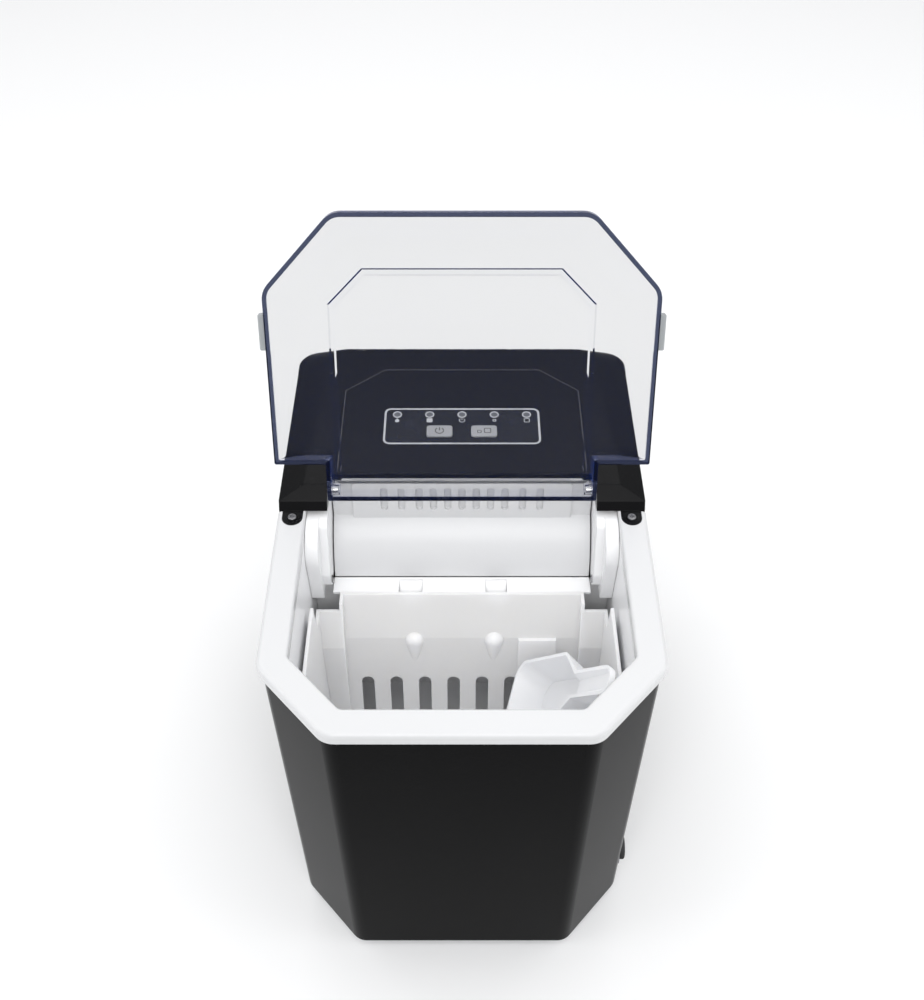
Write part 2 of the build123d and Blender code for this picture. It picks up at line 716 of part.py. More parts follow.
# ---------------------------------------------------------------- ice shovel
shovel_half = 81.2
shovel_thickness = 2.2
shovel_top = rim + 4.0
panel_bottom = rim - 23.0
panel_foot_y = front + 175.0
panel_head_y = front + 178.2
shovel_foot = (front + 151.3, rim - 55.7)
slot_offsets = [-48.8, -37.9, -26.8, -17.9, -8.9, 0.0, 8.9, 17.9, 26.8, 37.9, 48.8]
slot_width = 4.2
slot_depth = 2.5               # the slots are recesses, not holes
panel_half = 68.7
panel_rise = 1.5
with BuildPart() as ice_shovel:
    with BuildSketch(Plane.YZ.offset(-shovel_half)):
        with BuildLine():
            Line((panel_head_y, shovel_top), (panel_foot_y, panel_bottom))
            ThreePointArc(
                (panel_foot_y, panel_bottom),
                (front + 159.9, rim - 36.9),
                shovel_foot,
            )
            Line(shovel_foot, (shovel_foot[0] + shovel_thickness, shovel_foot[1]))
            ThreePointArc(
                (shovel_foot[0] + shovel_thickness, shovel_foot[1]),
                (front + 161.5, rim - 38.5),
                (panel_foot_y + shovel_thickness, panel_bottom - 1.6),
            )
            Line((panel_foot_y + shovel_thickness, panel_bottom - 1.6), (panel_head_y + shovel_thickness, shovel_top))
            Line((panel_head_y + shovel_thickness, shovel_top), (panel_head_y, shovel_top))
        make_face()
    extrude(amount=2 * shovel_half)
    panel_plane = Plane(
        origin=(0, panel_foot_y, panel_bottom),
        x_dir=(1, 0, 0),
        z_dir=(0, -(shovel_top - panel_bottom), panel_head_y - panel_foot_y),
    )
    with BuildSketch(panel_plane):
        with Locations((0, 12.0)):
            RectangleRounded(2 * panel_half, 30.0, 3.0)
    extrude(amount=panel_rise)
    with BuildSketch(panel_plane.offset(panel_rise + 1.0)):
        for x in slot_offsets:
            with Locations((x, 14.0)):
                SlotOverall(18.0, slot_width, rotation=90)
    extrude(amount=-(1.0 + slot_depth), mode=Mode.SUBTRACT)
    for sign in (-1, 1):
        with Locations((sign * (shovel_half - 1.25), shovel_pivot[0] - 1.0, shovel_pivot[1])):
            Box(2.5, 9.0, 9.0)
        with BuildSketch(Plane.YZ.offset(sign * (shovel_half - 2.0))):
            with Locations(shovel_pivot):
                Circle(pivot_pin_radius)
        extrude(amount=sign * 5.3)
finish_part(ice_shovel, "ice_shovel")

# ---------------------------------------------------------------- tilting water tray
tray_half = 68.0
tray_wall = 2.0
with BuildPart() as water_tray:
    with BuildSketch(Plane.YZ.offset(-tray_half)):
        with BuildLine():
            Line(tray_pivot, (tray_pivot[0] + tray_radius, tray_pivot[1]))
            ThreePointArc(
                (tray_pivot[0] + tray_radius, tray_pivot[1]),
                (tray_pivot[0] + tray_radius * math.sin(math.pi / 4),
                 tray_pivot[1] - tray_radius * math.cos(math.pi / 4)),
                (tray_pivot[0], tray_pivot[1] - tray_radius),
            )
            Line((tray_pivot[0], tray_pivot[1] - tray_radius), tray_pivot)
        make_face()
        offset(amount=tray_wall, kind=Kind.INTERSECTION)
    extrude(amount=2 * tray_half)
    with BuildSketch(Plane.YZ.offset(-tray_half + tray_wall)):
        with BuildLine():
            Line((tray_pivot[0], tray_pivot[1] + 10.0), (tray_pivot[0] + tray_radius, tray_pivot[1] + 10.0))
            Line((tray_pivot[0] + tray_radius, tray_pivot[1] + 10.0), (tray_pivot[0] + tray_radius, tray_pivot[1]))
            ThreePointArc(
                (tray_pivot[0] + tray_radius, tray_pivot[1]),
                (tray_pivot[0] + tray_radius * math.sin(math.pi / 4),
                 tray_pivot[1] - tray_radius * math.cos(math.pi / 4)),
                (tray_pivot[0], tray_pivot[1] - tray_radius),
            )
            Line((tray_pivot[0], tray_pivot[1] - tray_radius), (tray_pivot[0], tray_pivot[1] + 10.0))
        make_face()
    extrude(amount=2 * (tray_half - tray_wall), mode=Mode.SUBTRACT)
    for sign in (-1, 1):
        with BuildSketch(Plane.YZ.offset(sign * tray_half)):
            with Locations(tray_pivot):
                Circle(6.0)
        extrude(amount=sign * 3.0)
    with BuildSketch(Plane.YZ.offset(-width)):
        with Locations(tray_pivot):
            Circle(shaft_radius)
    extrude(amount=2 * width, mode=Mode.SUBTRACT)
finish_part(water_tray, "water_tray")

with BuildPart() as tray_shafts:
    for start, length in ((-98.0, 30.0), (68.0, 24.0)):
        with BuildSketch(Plane.YZ.offset(start)):
            with Locations(tray_pivot):
                Circle(shaft_radius)
        extrude(amount=length)
finish_part(tray_shafts, "tray_shafts")

with BuildPart() as tray_motor:
    with BuildSketch(Plane.YZ.offset(-98.2)):
        with Locations((tray_pivot[0] - 8.0, tray_pivot[1])):
            Circle(21.0)
        with Locations((tray_pivot[0] - 8.0, tray_pivot[1])):
            Rectangle(56.0, 9.0)
    extrude(amount=-8.6)
finish_part(tray_motor, "tray_motor")

# ---------------------------------------------------------------- ice basket
basket_rear = front + 138.0
basket_half = side - basket_inset
crease = (front + 126.0, rim - 85.0)
basket_heel = front + 111.0
basket_toe = front + 26.0
shoulder_y = front + 113.0
shoulder_top = rim - 60.0
shoulder_setback = 8.0
back_half = 77.0
back_top = rim - 55.0
basket_slots = [-63.0 + 18.9 * index for index in range(7)]
basket_slot_width = 8.3
basket_slot_top = rim - 119.0
basket_slot_shift = 0.7
basket_slot_length = 40.0
bump_x = (-30.5, 20.6)         # tapered ribs under the partition's notches
bump_top = rim - 88.0
bump_radius = 7.0
bump_sink = 3.2                # how far the ribs' centre line stands back in the wall
bump_length = 26.0
pad_x = (36.3, 60.5)           # raised pad on the rear wall
pad_length = 40.0
pad_rise = 2.6
casing_draft = 3.5             # how much narrower the basket is at the bottom, each side
basket_sketch_top = back_top + 60.0


def basket_profile(wall, rear_shift):
    """Side profile of the basket, from the rear edge down to the floor and up the front."""
    nose = front + basket_inset - 0.6 + wall
    return [
        (basket_rear - rear_shift - wall, back_top),
        (crease[0] - rear_shift - wall, crease[1]),
        (basket_heel - wall, basket_bottom + wall),
        (basket_toe + wall, basket_bottom + wall),
        (nose, basket_rim),
        (nose, basket_sketch_top),
        (basket_rear - rear_shift - wall, basket_sketch_top),
    ]


def basket_form(wall):
    """The basket's filled outer form, or its hollow when a wall thickness is given."""
    with BuildPart(mode=Mode.PRIVATE) as form:
        for half, rear_shift in ((side, shoulder_setback), (back_half - wall, 0.0)):
            with BuildSketch(Plane.YZ.offset(-half)):
                with BuildLine():
                    Polyline(*basket_profile(wall, rear_shift), close=True)
                make_face()
            extrude(amount=2 * half)
        with BuildSketch(Plane.XY.offset(basket_bottom + wall)):
            casing_outline(basket_inset + casing_draft + wall, back + 20.0)
        with BuildSketch(Plane.XY.offset(basket_sketch_top)):
            casing_outline(basket_inset + wall, back + 20.0)
        loft(ruled=True, mode=Mode.INTERSECT)
    return form.part


def rear_relief():
    """The tapered ribs and the raised pad on the inside of the basket's rear wall."""
    wall_fall = Vector(0, basket_heel - crease[0], basket_bottom - crease[1]).normalized()
    with BuildPart(mode=Mode.PRIVATE) as relief:
        for x in bump_x:
            rib_top = Vector(x, crease[0] - basket_wall + bump_sink, crease[1]) + wall_fall * (crease[1] - bump_top)
            with Locations(Plane(origin=rib_top, z_dir=wall_fall)):
                Cone(bump_radius, 1.5, bump_length, align=(Align.CENTER, Align.CENTER, Align.MIN))
            with Locations(rib_top):
                Sphere(bump_radius)
        pad_corner = Vector(pad_x[0], crease[0] - basket_wall, crease[1])
        with BuildSketch(Plane(origin=pad_corner, x_dir=(1, 0, 0), z_dir=wall_fall.cross(Vector(1, 0, 0)))):
            Rectangle(pad_x[1] - pad_x[0], pad_length, align=(Align.MIN, Align.MAX))
        extrude(amount=pad_rise, both=True)
        add(basket_form(0.0), mode=Mode.INTERSECT)
    return relief.part


with BuildPart() as ice_basket:
    add(basket_form(0.0))
    add(basket_form(basket_wall), mode=Mode.SUBTRACT)
    with Locations((0, shoulder_y, basket_rim)):
        Box(2 * width, depth, rim, align=(Align.CENTER, Align.MAX, Align.MIN), mode=Mode.SUBTRACT)
    for sign in (-1, 1):
        with Locations((sign * (back_half + side) / 2, shoulder_y, shoulder_top)):
            Box(side - back_half, depth, rim, align=(Align.CENTER, Align.MIN, Align.MIN), mode=Mode.SUBTRACT)
    with Locations((0, shoulder_y - 1.0, back_top)):
        Box(2 * width, depth, rim, align=(Align.CENTER, Align.MIN, Align.MIN), mode=Mode.SUBTRACT)
    with BuildSketch(Plane.XZ.offset(-front - 100.0)):
        for x in basket_slots:
            with Locations((x + basket_slot_shift, basket_slot_top - basket_slot_length / 2)):
                SlotOverall(basket_slot_length, basket_slot_width, rotation=90)
    extrude(amount=-34.0, mode=Mode.SUBTRACT)
    add(rear_relief())
finish_part(ice_basket, "ice_basket")

# ---------------------------------------------------------------- ice scoop, leaning in the basket
scoop_heel = Vector(30.6, front + 90.1, rim - 98.0)       # middle of the bowl's front edge
scoop_along = Vector(0.421, -0.436, 0.796)                # from the bowl to the handle's tip
scoop_opening = Vector(-0.867, 0.066, 0.495)              # the way the bowl opens
scoop_plane = Plane(origin=scoop_heel, x_dir=scoop_along, z_dir=scoop_opening)
bowl_half = 21.4
bowl_side = 61.0               # length of the bowl's straight sides
bowl_end = 78.0                # where the bowl's shoulders meet the handle
bowl_depth = 21.0
bowl_draft = 6.5
scoop_wall = 1.8
handle_half = 8.4
handle_start = 58.0
handle_end = 116.5
handle_depth = (9.0, 3.2)      # depth of the hollow handle at the bowl and at the tip
handle_draft = 3.0


def scoop_bowl(wall):
    """The bowl's filled form, or its hollow when a wall thickness is given."""
    with BuildPart(mode=Mode.PRIVATE) as bowl:
        for drop, draft in ((-wall / 4, 0.0), (bowl_depth - wall, bowl_draft)):
            half = bowl_half - draft - wall
            neck = handle_half - draft / 2 - wall
            with BuildSketch(scoop_plane.offset(-drop)):
                with BuildLine() as rim_line:
                    FilletPolyline(
                        (draft + wall, -half),
                        (bowl_side - draft / 2, -half),
                        (bowl_end - draft - wall, -neck),
                        (bowl_end - draft - wall, neck),
                        (bowl_side - draft / 2, half),
                        (draft + wall, half),
                        radius=[11.0, 5.0, 1.0, 1.0, 5.0, 11.0],
                        close=True,
                    )
                make_face(rim_line.edges())
        loft(ruled=True)
    return bowl.part


def scoop_handle(wall):
    """The handle's filled form, or its hollow when a wall thickness is given."""
    with BuildPart(mode=Mode.PRIVATE) as handle:
        for station, depth in zip((handle_start, handle_end), handle_depth):
            section = Plane(
                origin=scoop_plane.from_local_coords(Vector(station, 0, wall / 4)),
                x_dir=scoop_plane.y_dir,
                z_dir=scoop_plane.x_dir,
            )
            top = handle_half - wall
            foot = handle_half - handle_draft - wall * 0.7
            fall = depth - wall * 0.75
            with BuildSketch(section):
                with BuildLine() as outline:
                    Polyline((-top, 0), (top, 0), (foot, -fall), (-foot, -fall), close=True)
                make_face(outline.edges())
        loft(ruled=True)
        with BuildSketch(scoop_plane.offset(bowl_depth)):
            with BuildLine() as tip:
                FilletPolyline(
                    (handle_start, -handle_half),
                    (handle_end - wall, -handle_half + wall),
                    (handle_end - wall, handle_half - wall),
                    (handle_start, handle_half),
                    radius=[0, handle_half - wall - 0.6, handle_half - wall - 0.6, 0],
                    close=True,
                )
            make_face(tip.edges())
        extrude(amount=-2 * bowl_depth, mode=Mode.INTERSECT)
    return handle.part


with BuildPart() as ice_scoop:
    add(scoop_bowl(0.0))
    add(scoop_handle(0.0))
    add(scoop_bowl(scoop_wall), mode=Mode.SUBTRACT)
    add(scoop_handle(scoop_wall), mode=Mode.SUBTRACT)
finish_part(ice_scoop, "ice_scoop")

# ---------------------------------------------------------------- water pump, hose and level probe
pump_at = (50.0, front + 171.5)
pump_top = tank_floor + 36.0
pump_foot = tank_floor + 3.0
impeller_radius = 10.0
with BuildPart() as water_pump:
    with BuildSketch(Plane.XY.offset(pump_foot)):
        with Locations(pump_at):
            RectangleRounded(34.0, 32.0, 6.0)
    extrude(amount=pump_top - pump_foot)
    fillet(water_pump.faces().sort_by(Axis.Z)[-1].edges(), 2.5)
    with BuildSketch(Plane.XY.offset(pump_foot)):
        with Locations(pump_at):
            Circle(impeller_radius + 1.5)
    extrude(amount=10.0, mode=Mode.SUBTRACT)
    with BuildSketch(Plane.XY.offset(pump_foot)):
        with Locations(pump_at):
            Circle(1.5 + running_gap)
    extrude(amount=20.0, mode=Mode.SUBTRACT)
    for x in (-13.5, 13.5):
        for y in (-12.5, 12.5):
            with Locations((pump_at[0] + x, pump_at[1] + y, pump_foot)):
                Cylinder(2.0, pump_foot - tank_floor, align=(Align.CENTER, Align.CENTER, Align.MAX))
finish_part(water_pump, "water_pump")

with BuildPart() as pump_impeller:
    with BuildSketch(Plane.XY.offset(pump_foot + 1.5)):
        with Locations(pump_at):
            Circle(4.0)
            with PolarLocations(0, 5):
                Rectangle(impeller_radius, 1.6, align=(Align.MIN, Align.CENTER))
    extrude(amount=6.5)
    with BuildSketch(Plane.XY.offset(pump_foot + 1.5)):
        with Locations(pump_at):
            Circle(1.5)
    extrude(amount=17.0)
finish_part(pump_impeller, "pump_impeller")

hose_x = 75.6
hose_path = [
    (pump_at[0], pump_at[1], pump_top),
    (pump_at[0], pump_at[1], pump_top + 18.0),
    (hose_x, pump_at[1], pump_top + 34.0),
    (hose_x, pump_at[1], rim - 68.0),
]
round_bar(hose_path, [8.0, 8.0], 3.0, "water_hose")

with BuildPart() as water_probe:
    with BuildSketch(Plane.XY.offset(tank_floor + 14.0)):
        with Locations((-tank_half + 5.5, front + 168.0)):
            RectangleRounded(10.4, 15.0, 2.0)
    extrude(amount=26.0)
    for y in (163.5, 172.5):
        with Locations((-tank_half + 5.5, front + y, tank_floor + 14.0)):
            Cylinder(1.2, 10.0, align=(Align.CENTER, Align.CENTER, Align.MAX))
finish_part(water_probe, "water_probe")

# ---------------------------------------------------------------- drain
spout_bore = 4.5
spout_end = side - 1.0
spout_path = [
    (spout_at[0], spout_at[1], tank_floor),
    (spout_at[0], spout_at[1], drain_at[1]),
    (spout_end, spout_at[1], drain_at[1]),
]
with BuildPart() as drain_spout:
    with BuildLine() as spout_line:
        FilletPolyline(*spout_path, radius=12.0)
    with BuildSketch(Plane(origin=spout_path[0], z_dir=(0, 0, -1))):
        Circle(spout_outer)
        Circle(spout_bore, mode=Mode.SUBTRACT)
    sweep(path=spout_line.wire())
    with BuildSketch(Plane.YZ.offset(side - shell_inset)):
        with Locations(drain_at):
            Circle(drain_hole + 2.5)
            Circle(spout_bore, mode=Mode.SUBTRACT)
    extrude(amount=shell_inset - 1.0)
finish_part(drain_spout, "drain_spout")

plug_stem = spout_bore - 0.08
with BuildPart() as drain_plug:
    with BuildSketch(Plane.YZ.offset(spout_end + 1.0)):
        with Locations(drain_at):
            Circle(9.0)
    extrude(amount=3.2)
    chamfer(drain_plug.faces().sort_by(Axis.X)[-1].edges(), 0.8)
    with BuildSketch(Plane.YZ.offset(spout_end + 4.2)):
        with Locations(drain_at):
            Rectangle(12.0, 2.6)
    extrude(amount=-1.6, mode=Mode.SUBTRACT)
    with BuildSketch(Plane.YZ.offset(spout_end + 1.0)):
        with Locations(drain_at):
            Circle(plug_stem)
    extrude(amount=-14.0)
finish_part(drain_plug, "drain_plug")

with BuildPart() as drain_gasket:
    with BuildSketch(Plane.YZ.offset(spout_end + 0.1)):
        with Locations(drain_at):
            Circle(7.5)
            Circle(plug_stem + 0.02, mode=Mode.SUBTRACT)
    extrude(amount=0.8)
finish_part(drain_gasket, "drain_gasket")

# ---------------------------------------------------------------- condenser and its fan
condenser_x = -88.0
condenser_y = (front + 60.0, front + 146.0)
condenser_z = (22.0, 92.0)
fin_count = 22
with BuildPart() as condenser:
    fin_pitch = (condenser_y[1] - condenser_y[0]) / (fin_count - 1)
    with Locations((condenser_x, sum(condenser_y) / 2, sum(condenser_z) / 2)):
        with GridLocations(0, fin_pitch, 1, fin_count):
            Box(26.0, 0.8, condenser_z[1] - condenser_z[0])
    with BuildSketch(Plane.XZ.offset(-condenser_y[0] + 4.0)):
        with Locations((condenser_x, sum(condenser_z) / 2)):
            with GridLocations(13.0, 14.0, 2, 5):
                Circle(3.0)
    extrude(amount=-(condenser_y[1] - condenser_y[0] + 8.0))
finish_part(condenser, "condenser")

fan_axis = (sum(condenser_y) / 2, sum(condenser_z) / 2)
fan_frame_x = -70.0
fan_frame_depth = 18.0
fan_bore = 34.0
hub_radius = 12.0
with BuildPart() as fan_shroud:
    with BuildSketch(Plane.YZ.offset(fan_frame_x)):
        with Locations(fan_axis):
            RectangleRounded(76.0, 74.0, 5.0)
            Circle(fan_bore, mode=Mode.SUBTRACT)
    extrude(amount=fan_frame_depth)
    with BuildSketch(Plane.YZ.offset(fan_frame_x + fan_frame_depth)):
        with Locations(fan_axis):
            with PolarLocations(0, 4, start_angle=45):
                Rectangle(fan_bore + 2.0, 4.0, align=(Align.MIN, Align.CENTER))
            Circle(hub_radius + 2.0)
    extrude(amount=-2.5)
    with BuildSketch(Plane.YZ.offset(fan_frame_x)):
        with Locations(fan_axis):
            Circle(2.0 + running_gap)
    extrude(amount=fan_frame_depth + 2.0, mode=Mode.SUBTRACT)
finish_part(fan_shroud, "fan_shroud")

blade_count = 7
with BuildPart() as fan_rotor:
    with BuildSketch(Plane.YZ.offset(fan_frame_x + 2.0)):
        with Locations(fan_axis):
            Circle(hub_radius)
    extrude(amount=12.0)
    fillet(fan_rotor.faces().sort_by(Axis.X)[0].edges(), 2.0)
    with BuildSketch(Plane.YZ.offset(fan_frame_x + 2.0)):
        with Locations(fan_axis):
            Circle(2.0)
    extrude(amount=fan_frame_depth + 4.0)
    for index in range(blade_count):
        turn = 360.0 / blade_count * index
        blade_plane = Plane(origin=(fan_frame_x + 8.0, *fan_axis), x_dir=(1, 0, 0), z_dir=(0, 0, 1))
        blade_plane = blade_plane.rotated((turn, 0, 0))
        with BuildSketch(blade_plane.offset(hub_radius - 1.5)):
            Rectangle(9.0, 1.4, rotation=35)
        with BuildSketch(blade_plane.offset(fan_bore - 2.0)):
            Rectangle(9.5, 1.2, rotation=55)
        loft(ruled=True)
finish_part(fan_rotor, "fan_rotor")

with BuildPart() as fan_motor:
    with BuildSketch(Plane.YZ.offset(fan_frame_x + fan_frame_depth)):
        with Locations(fan_axis):
            Circle(hub_radius + 4.0)
            Circle(2.0 + running_gap, mode=Mode.SUBTRACT)
    extrude(amount=14.0)
    chamfer(fan_motor.faces().sort_by(Axis.X)[-1].outer_wire().edges(), 1.5)
finish_part(fan_motor, "fan_motor")

# ---------------------------------------------------------------- compressor on rubber mounts
compressor_radius = 43.0
compressor_foot = base_top + 9.0
compressor_top = chamber_floor - tank_wall - 14.0
dome = 20.0
with BuildPart() as compressor:
    with BuildSketch(Plane(origin=(*compressor_at, 0), x_dir=(1, 0, 0), z_dir=(0, -1, 0))):
        with BuildLine():
            Line((0, compressor_foot + 1.0), (compressor_radius - 14.0, compressor_foot + 1.0))
            TangentArc(
                (compressor_radius - 14.0, compressor_foot + 1.0),
                (compressor_radius, compressor_foot + 15.0),
                tangent=(1, 0),
            )
            Line((compressor_radius, compressor_foot + 15.0), (compressor_radius, compressor_top - dome))
            TangentArc(
                (compressor_radius, compressor_top - dome),
                (compressor_radius - dome, compressor_top),
                tangent=(0, 1),
            )
            Line((compressor_radius - dome, compressor_top), (0, compressor_top))
            Line((0, compressor_top), (0, compressor_foot + 1.0))
        make_face()
    revolve(axis=Axis((*compressor_at, 0), (0, 0, 1)))
    with BuildSketch(Plane.XY.offset(compressor_foot)):
        with Locations(compressor_at):
            RectangleRounded(mount_spread + 18.0, mount_spread + 18.0, 9.0)
            with GridLocations(mount_spread, mount_spread, 2, 2):
                Circle(4.0, mode=Mode.SUBTRACT)
    extrude(amount=2.5)
    with BuildSketch(Plane.XY.offset(compressor_top - 62.0)):
        with Locations(compressor_at):
            Circle(compressor_radius + 1.6)
    extrude(amount=5.0)
finish_part(compressor, "compressor")

with BuildPart() as compressor_mounts:
    with Locations((*compressor_at, base_top)):
        with GridLocations(mount_spread, mount_spread, 2, 2):
            Cylinder(7.5, compressor_foot - base_top, align=(Align.CENTER, Align.CENTER, Align.MIN))
            Cylinder(bolt_radius, compressor_foot, align=(Align.CENTER, Align.CENTER, Align.MIN), mode=Mode.SUBTRACT)
finish_part(compressor_mounts, "compressor_mounts")

with BuildPart() as compressor_bolts:
    with Locations((*compressor_at, compressor_foot + 2.5)):
        with GridLocations(mount_spread, mount_spread, 2, 2):
            Cylinder(6.0, 1.2, align=(Align.CENTER, Align.CENTER, Align.MIN))
            Cylinder(bolt_radius, compressor_foot + 2.5 - foot_height, align=(Align.CENTER, Align.CENTER, Align.MAX))
    with BuildSketch(Plane.XY.offset(compressor_foot + 3.7)):
        with Locations(compressor_at):
            with GridLocations(mount_spread, mount_spread, 2, 2):
                RegularPolygon(4.0, 6)
    extrude(amount=3.0)
finish_part(compressor_bolts, "compressor_bolts")

with BuildPart() as terminal_box:
    with Locations((compressor_at[0] - compressor_radius - 2.0, compressor_at[1], compressor_foot + 62.0)):
        Box(18.0, 34.0, 38.0, align=(Align.MAX, Align.CENTER, Align.CENTER))
    fillet(terminal_box.edges().filter_by(Axis.Z), 3.0)
finish_part(terminal_box, "terminal_box")

# ---------------------------------------------------------------- refrigerant circuit
drier_at = (-72.0, front + 208.0)
with BuildPart() as filter_drier:
    with BuildSketch(Plane(origin=(*drier_at, 0), x_dir=(1, 0, 0), z_dir=(0, -1, 0))):
        with BuildLine():
            Polyline(
                (0, 44.0), (2.5, 44.0), (2.5, 50.0), (9.0, 58.0), (9.0, 104.0), (2.5, 112.0), (2.5, 118.0), (0, 118.0),
                close=True,
            )
        make_face()
    revolve(axis=Axis((*drier_at, 0), (0, 0, 1)))
finish_part(filter_drier, "filter_drier")

valve_at = (-66.0, front + 256.0, rim - 52.0)
with BuildPart() as hot_gas_valve:
    with Locations(valve_at):
        Box(24.0, 24.0, 26.0)
        Cylinder(7.0, 44.0)
    with Locations((valve_at[0], valve_at[1], valve_at[2] - 22.0)):
        Box(22.0, 12.0, 12.0)
    fillet(hot_gas_valve.edges().filter_by(Axis.Z).group_by(SortBy.LENGTH)[-1], 2.0)
finish_part(hot_gas_valve, "hot_gas_valve")

evaporator_tube_path = [
    (-evaporator_tube_half, front + 250.0, evaporator_tube_z),
    (-evaporator_tube_half, front + 203.0, evaporator_tube_z),
    (evaporator_tube_half, front + 203.0, evaporator_tube_z),
    (evaporator_tube_half, front + 250.0, evaporator_tube_z),
]
round_bar(evaporator_tube_path, [12.0, 12.0], evaporator_tube_radius, "evaporator_tube")

suction_path = [
    (evaporator_tube_half, front + 250.0, evaporator_tube_z),
    (evaporator_tube_half, front + 274.0, evaporator_tube_z),
    (evaporator_tube_half, front + 274.0, compressor_top + 22.0),
    (evaporator_tube_half, compressor_at[1] + 8.0, compressor_top + 22.0),
    (evaporator_tube_half, compressor_at[1] + 8.0, compressor_top + 0.2),
]
round_bar(suction_path, [10.0, 9.0, 8.0], 3.0, "suction_pipe")

pipe_x = valve_at[0] - 26.0
tube_end = condenser_y[1] + 4.0
discharge_path = [
    (compressor_at[0] - 6.0, compressor_at[1] + 20.0, compressor_top + 0.2),
    (compressor_at[0] - 6.0, compressor_at[1] + 20.0, compressor_top + 20.0),
    (pipe_x, compressor_at[1] + 20.0, compressor_top + 20.0),
    (pipe_x, compressor_at[1] + 20.0, 57.0),
    (condenser_x - 6.5, tube_end + 20.0, 57.0),
    (condenser_x - 6.5, tube_end, 57.0),
]
round_bar(discharge_path, [9.0, 12.0, 12.0, 12.0], 2.5, "discharge_pipe")

liquid_path = [
    (condenser_x + 6.5, tube_end, 43.0),
    (condenser_x + 6.5, tube_end + 18.0, 43.0),
    (drier_at[0], drier_at[1], 26.0),
    (drier_at[0], drier_at[1], 44.0),
]
round_bar(liquid_path, [8.0, 8.0], 2.0, "liquid_pipe")

capillary_path = [
    (drier_at[0], drier_at[1], 118.0),
    (drier_at[0], drier_at[1], 138.0),
    (-evaporator_tube_half, front + 274.0, 146.0),
    (-evaporator_tube_half, front + 274.0, evaporator_tube_z),
    (-evaporator_tube_half, front + 250.0, evaporator_tube_z),
]
round_bar(capillary_path, [12.0, 12.0, 9.0], 1.5, "capillary_tube")

# ---------------------------------------------------------------- electronics
board_at = (8.0, front + 292.0, rim - 62.0)
with BuildPart() as main_board:
    with Locations(board_at):
        Box(76.0, 1.6, 62.0)
    with Locations((board_at[0] - 20.0, board_at[1] - 0.8, board_at[2] + 12.0)):
        Box(24.0, 14.0, 20.0, align=(Align.CENTER, Align.MAX, Align.CENTER))
    with Locations((board_at[0] + 12.0, board_at[1] - 0.8, board_at[2] - 14.0)):
        with GridLocations(20.0, 0, 2, 1):
            Box(15.0, 12.0, 18.0, align=(Align.CENTER, Align.MAX, Align.CENTER))
    with Locations((board_at[0] - 4.0, board_at[1] - 0.8, board_at[2] - 22.0)):
        Box(12.0, 8.0, 10.0, align=(Align.CENTER, Align.MAX, Align.CENTER))
finish_part(main_board, "main_board")
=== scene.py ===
import math

import bpy
from mathutils import Matrix, Vector


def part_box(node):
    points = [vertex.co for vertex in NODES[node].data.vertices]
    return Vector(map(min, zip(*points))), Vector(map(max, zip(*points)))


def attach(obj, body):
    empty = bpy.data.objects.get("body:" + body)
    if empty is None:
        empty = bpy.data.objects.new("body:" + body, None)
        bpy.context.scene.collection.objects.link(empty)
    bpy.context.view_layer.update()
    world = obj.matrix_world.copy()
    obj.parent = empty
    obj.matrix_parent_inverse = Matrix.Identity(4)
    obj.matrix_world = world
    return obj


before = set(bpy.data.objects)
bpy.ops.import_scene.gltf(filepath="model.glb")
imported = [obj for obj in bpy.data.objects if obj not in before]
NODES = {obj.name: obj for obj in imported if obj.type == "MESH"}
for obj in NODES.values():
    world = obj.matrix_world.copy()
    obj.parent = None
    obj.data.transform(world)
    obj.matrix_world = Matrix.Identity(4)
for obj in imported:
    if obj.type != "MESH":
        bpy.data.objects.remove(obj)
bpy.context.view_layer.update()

MM = 0.001


# ---------------------------------------------------------------- places taken from the frame
def low(node):
    """Lowest corner of a CAD node at rest."""
    return Vector(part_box(node)[0])


def high(node):
    """Highest corner of a CAD node at rest."""
    return Vector(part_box(node)[1])


RIM = high("top_collar").z
FRONT = low("top_collar").y
LABEL_TOP = high("control_label").z


# ---------------------------------------------------------------- camera, floor and lights
CAMERA_AHEAD = 0.301          # the camera stands this far in front of the collar
CAMERA_ABOVE = 0.4983         # and this far above its top plane
CAMERA_PITCH = 46.85          # degrees below the horizon
CAMERA_LENS = 40.05
FLOOR_SIZE = 8.0
FLOOR_GREY = 0.95
WORLD_STRENGTH = 0.48
# softboxes as name, place, size and watts, all turned to the upper body
SOFTBOXES = [
    ("top_softbox", (0.0, 0.5, 2.5), (3.6, 3.4), 45.0),
    ("front_softbox", (0.0, -1.9, 2.0), (2.2, 1.0), 14.0),
    ("fill_softbox", (0.0, FRONT - 0.5, RIM + 0.8), (0.7, 0.5), 2.2),
    ("left_softbox", (-1.8, -0.2, 0.9), (1.2, 1.6), 7.5),
    ("right_softbox", (1.8, -0.2, 0.9), (1.2, 1.6), 7.5),
]


def make_camera():
    """A portrait camera that looks down into the open machine."""
    data = bpy.data.cameras.new("camera")
    data.sensor_width = 36.0
    data.lens = CAMERA_LENS
    data.clip_start = 0.01
    camera = bpy.data.objects.new("camera", data)
    camera.location = (0.0, FRONT - CAMERA_AHEAD, RIM + CAMERA_ABOVE)
    camera.rotation_euler = (math.radians(90.0 - CAMERA_PITCH), 0.0, 0.0)
    bpy.context.collection.objects.link(camera)
    bpy.context.scene.camera = camera


def area_light(name, place, target, size, power):
    """A rectangular softbox at a place, turned to the target; power in watts."""
    data = bpy.data.lights.new(name, "AREA")
    data.shape = "RECTANGLE"
    data.size, data.size_y = size
    data.energy = power
    light = bpy.data.objects.new(name, data)
    light.location = place
    light.rotation_euler = (Vector(target) - Vector(place)).to_track_quat("-Z", "Y").to_euler()
    bpy.context.collection.objects.link(light)


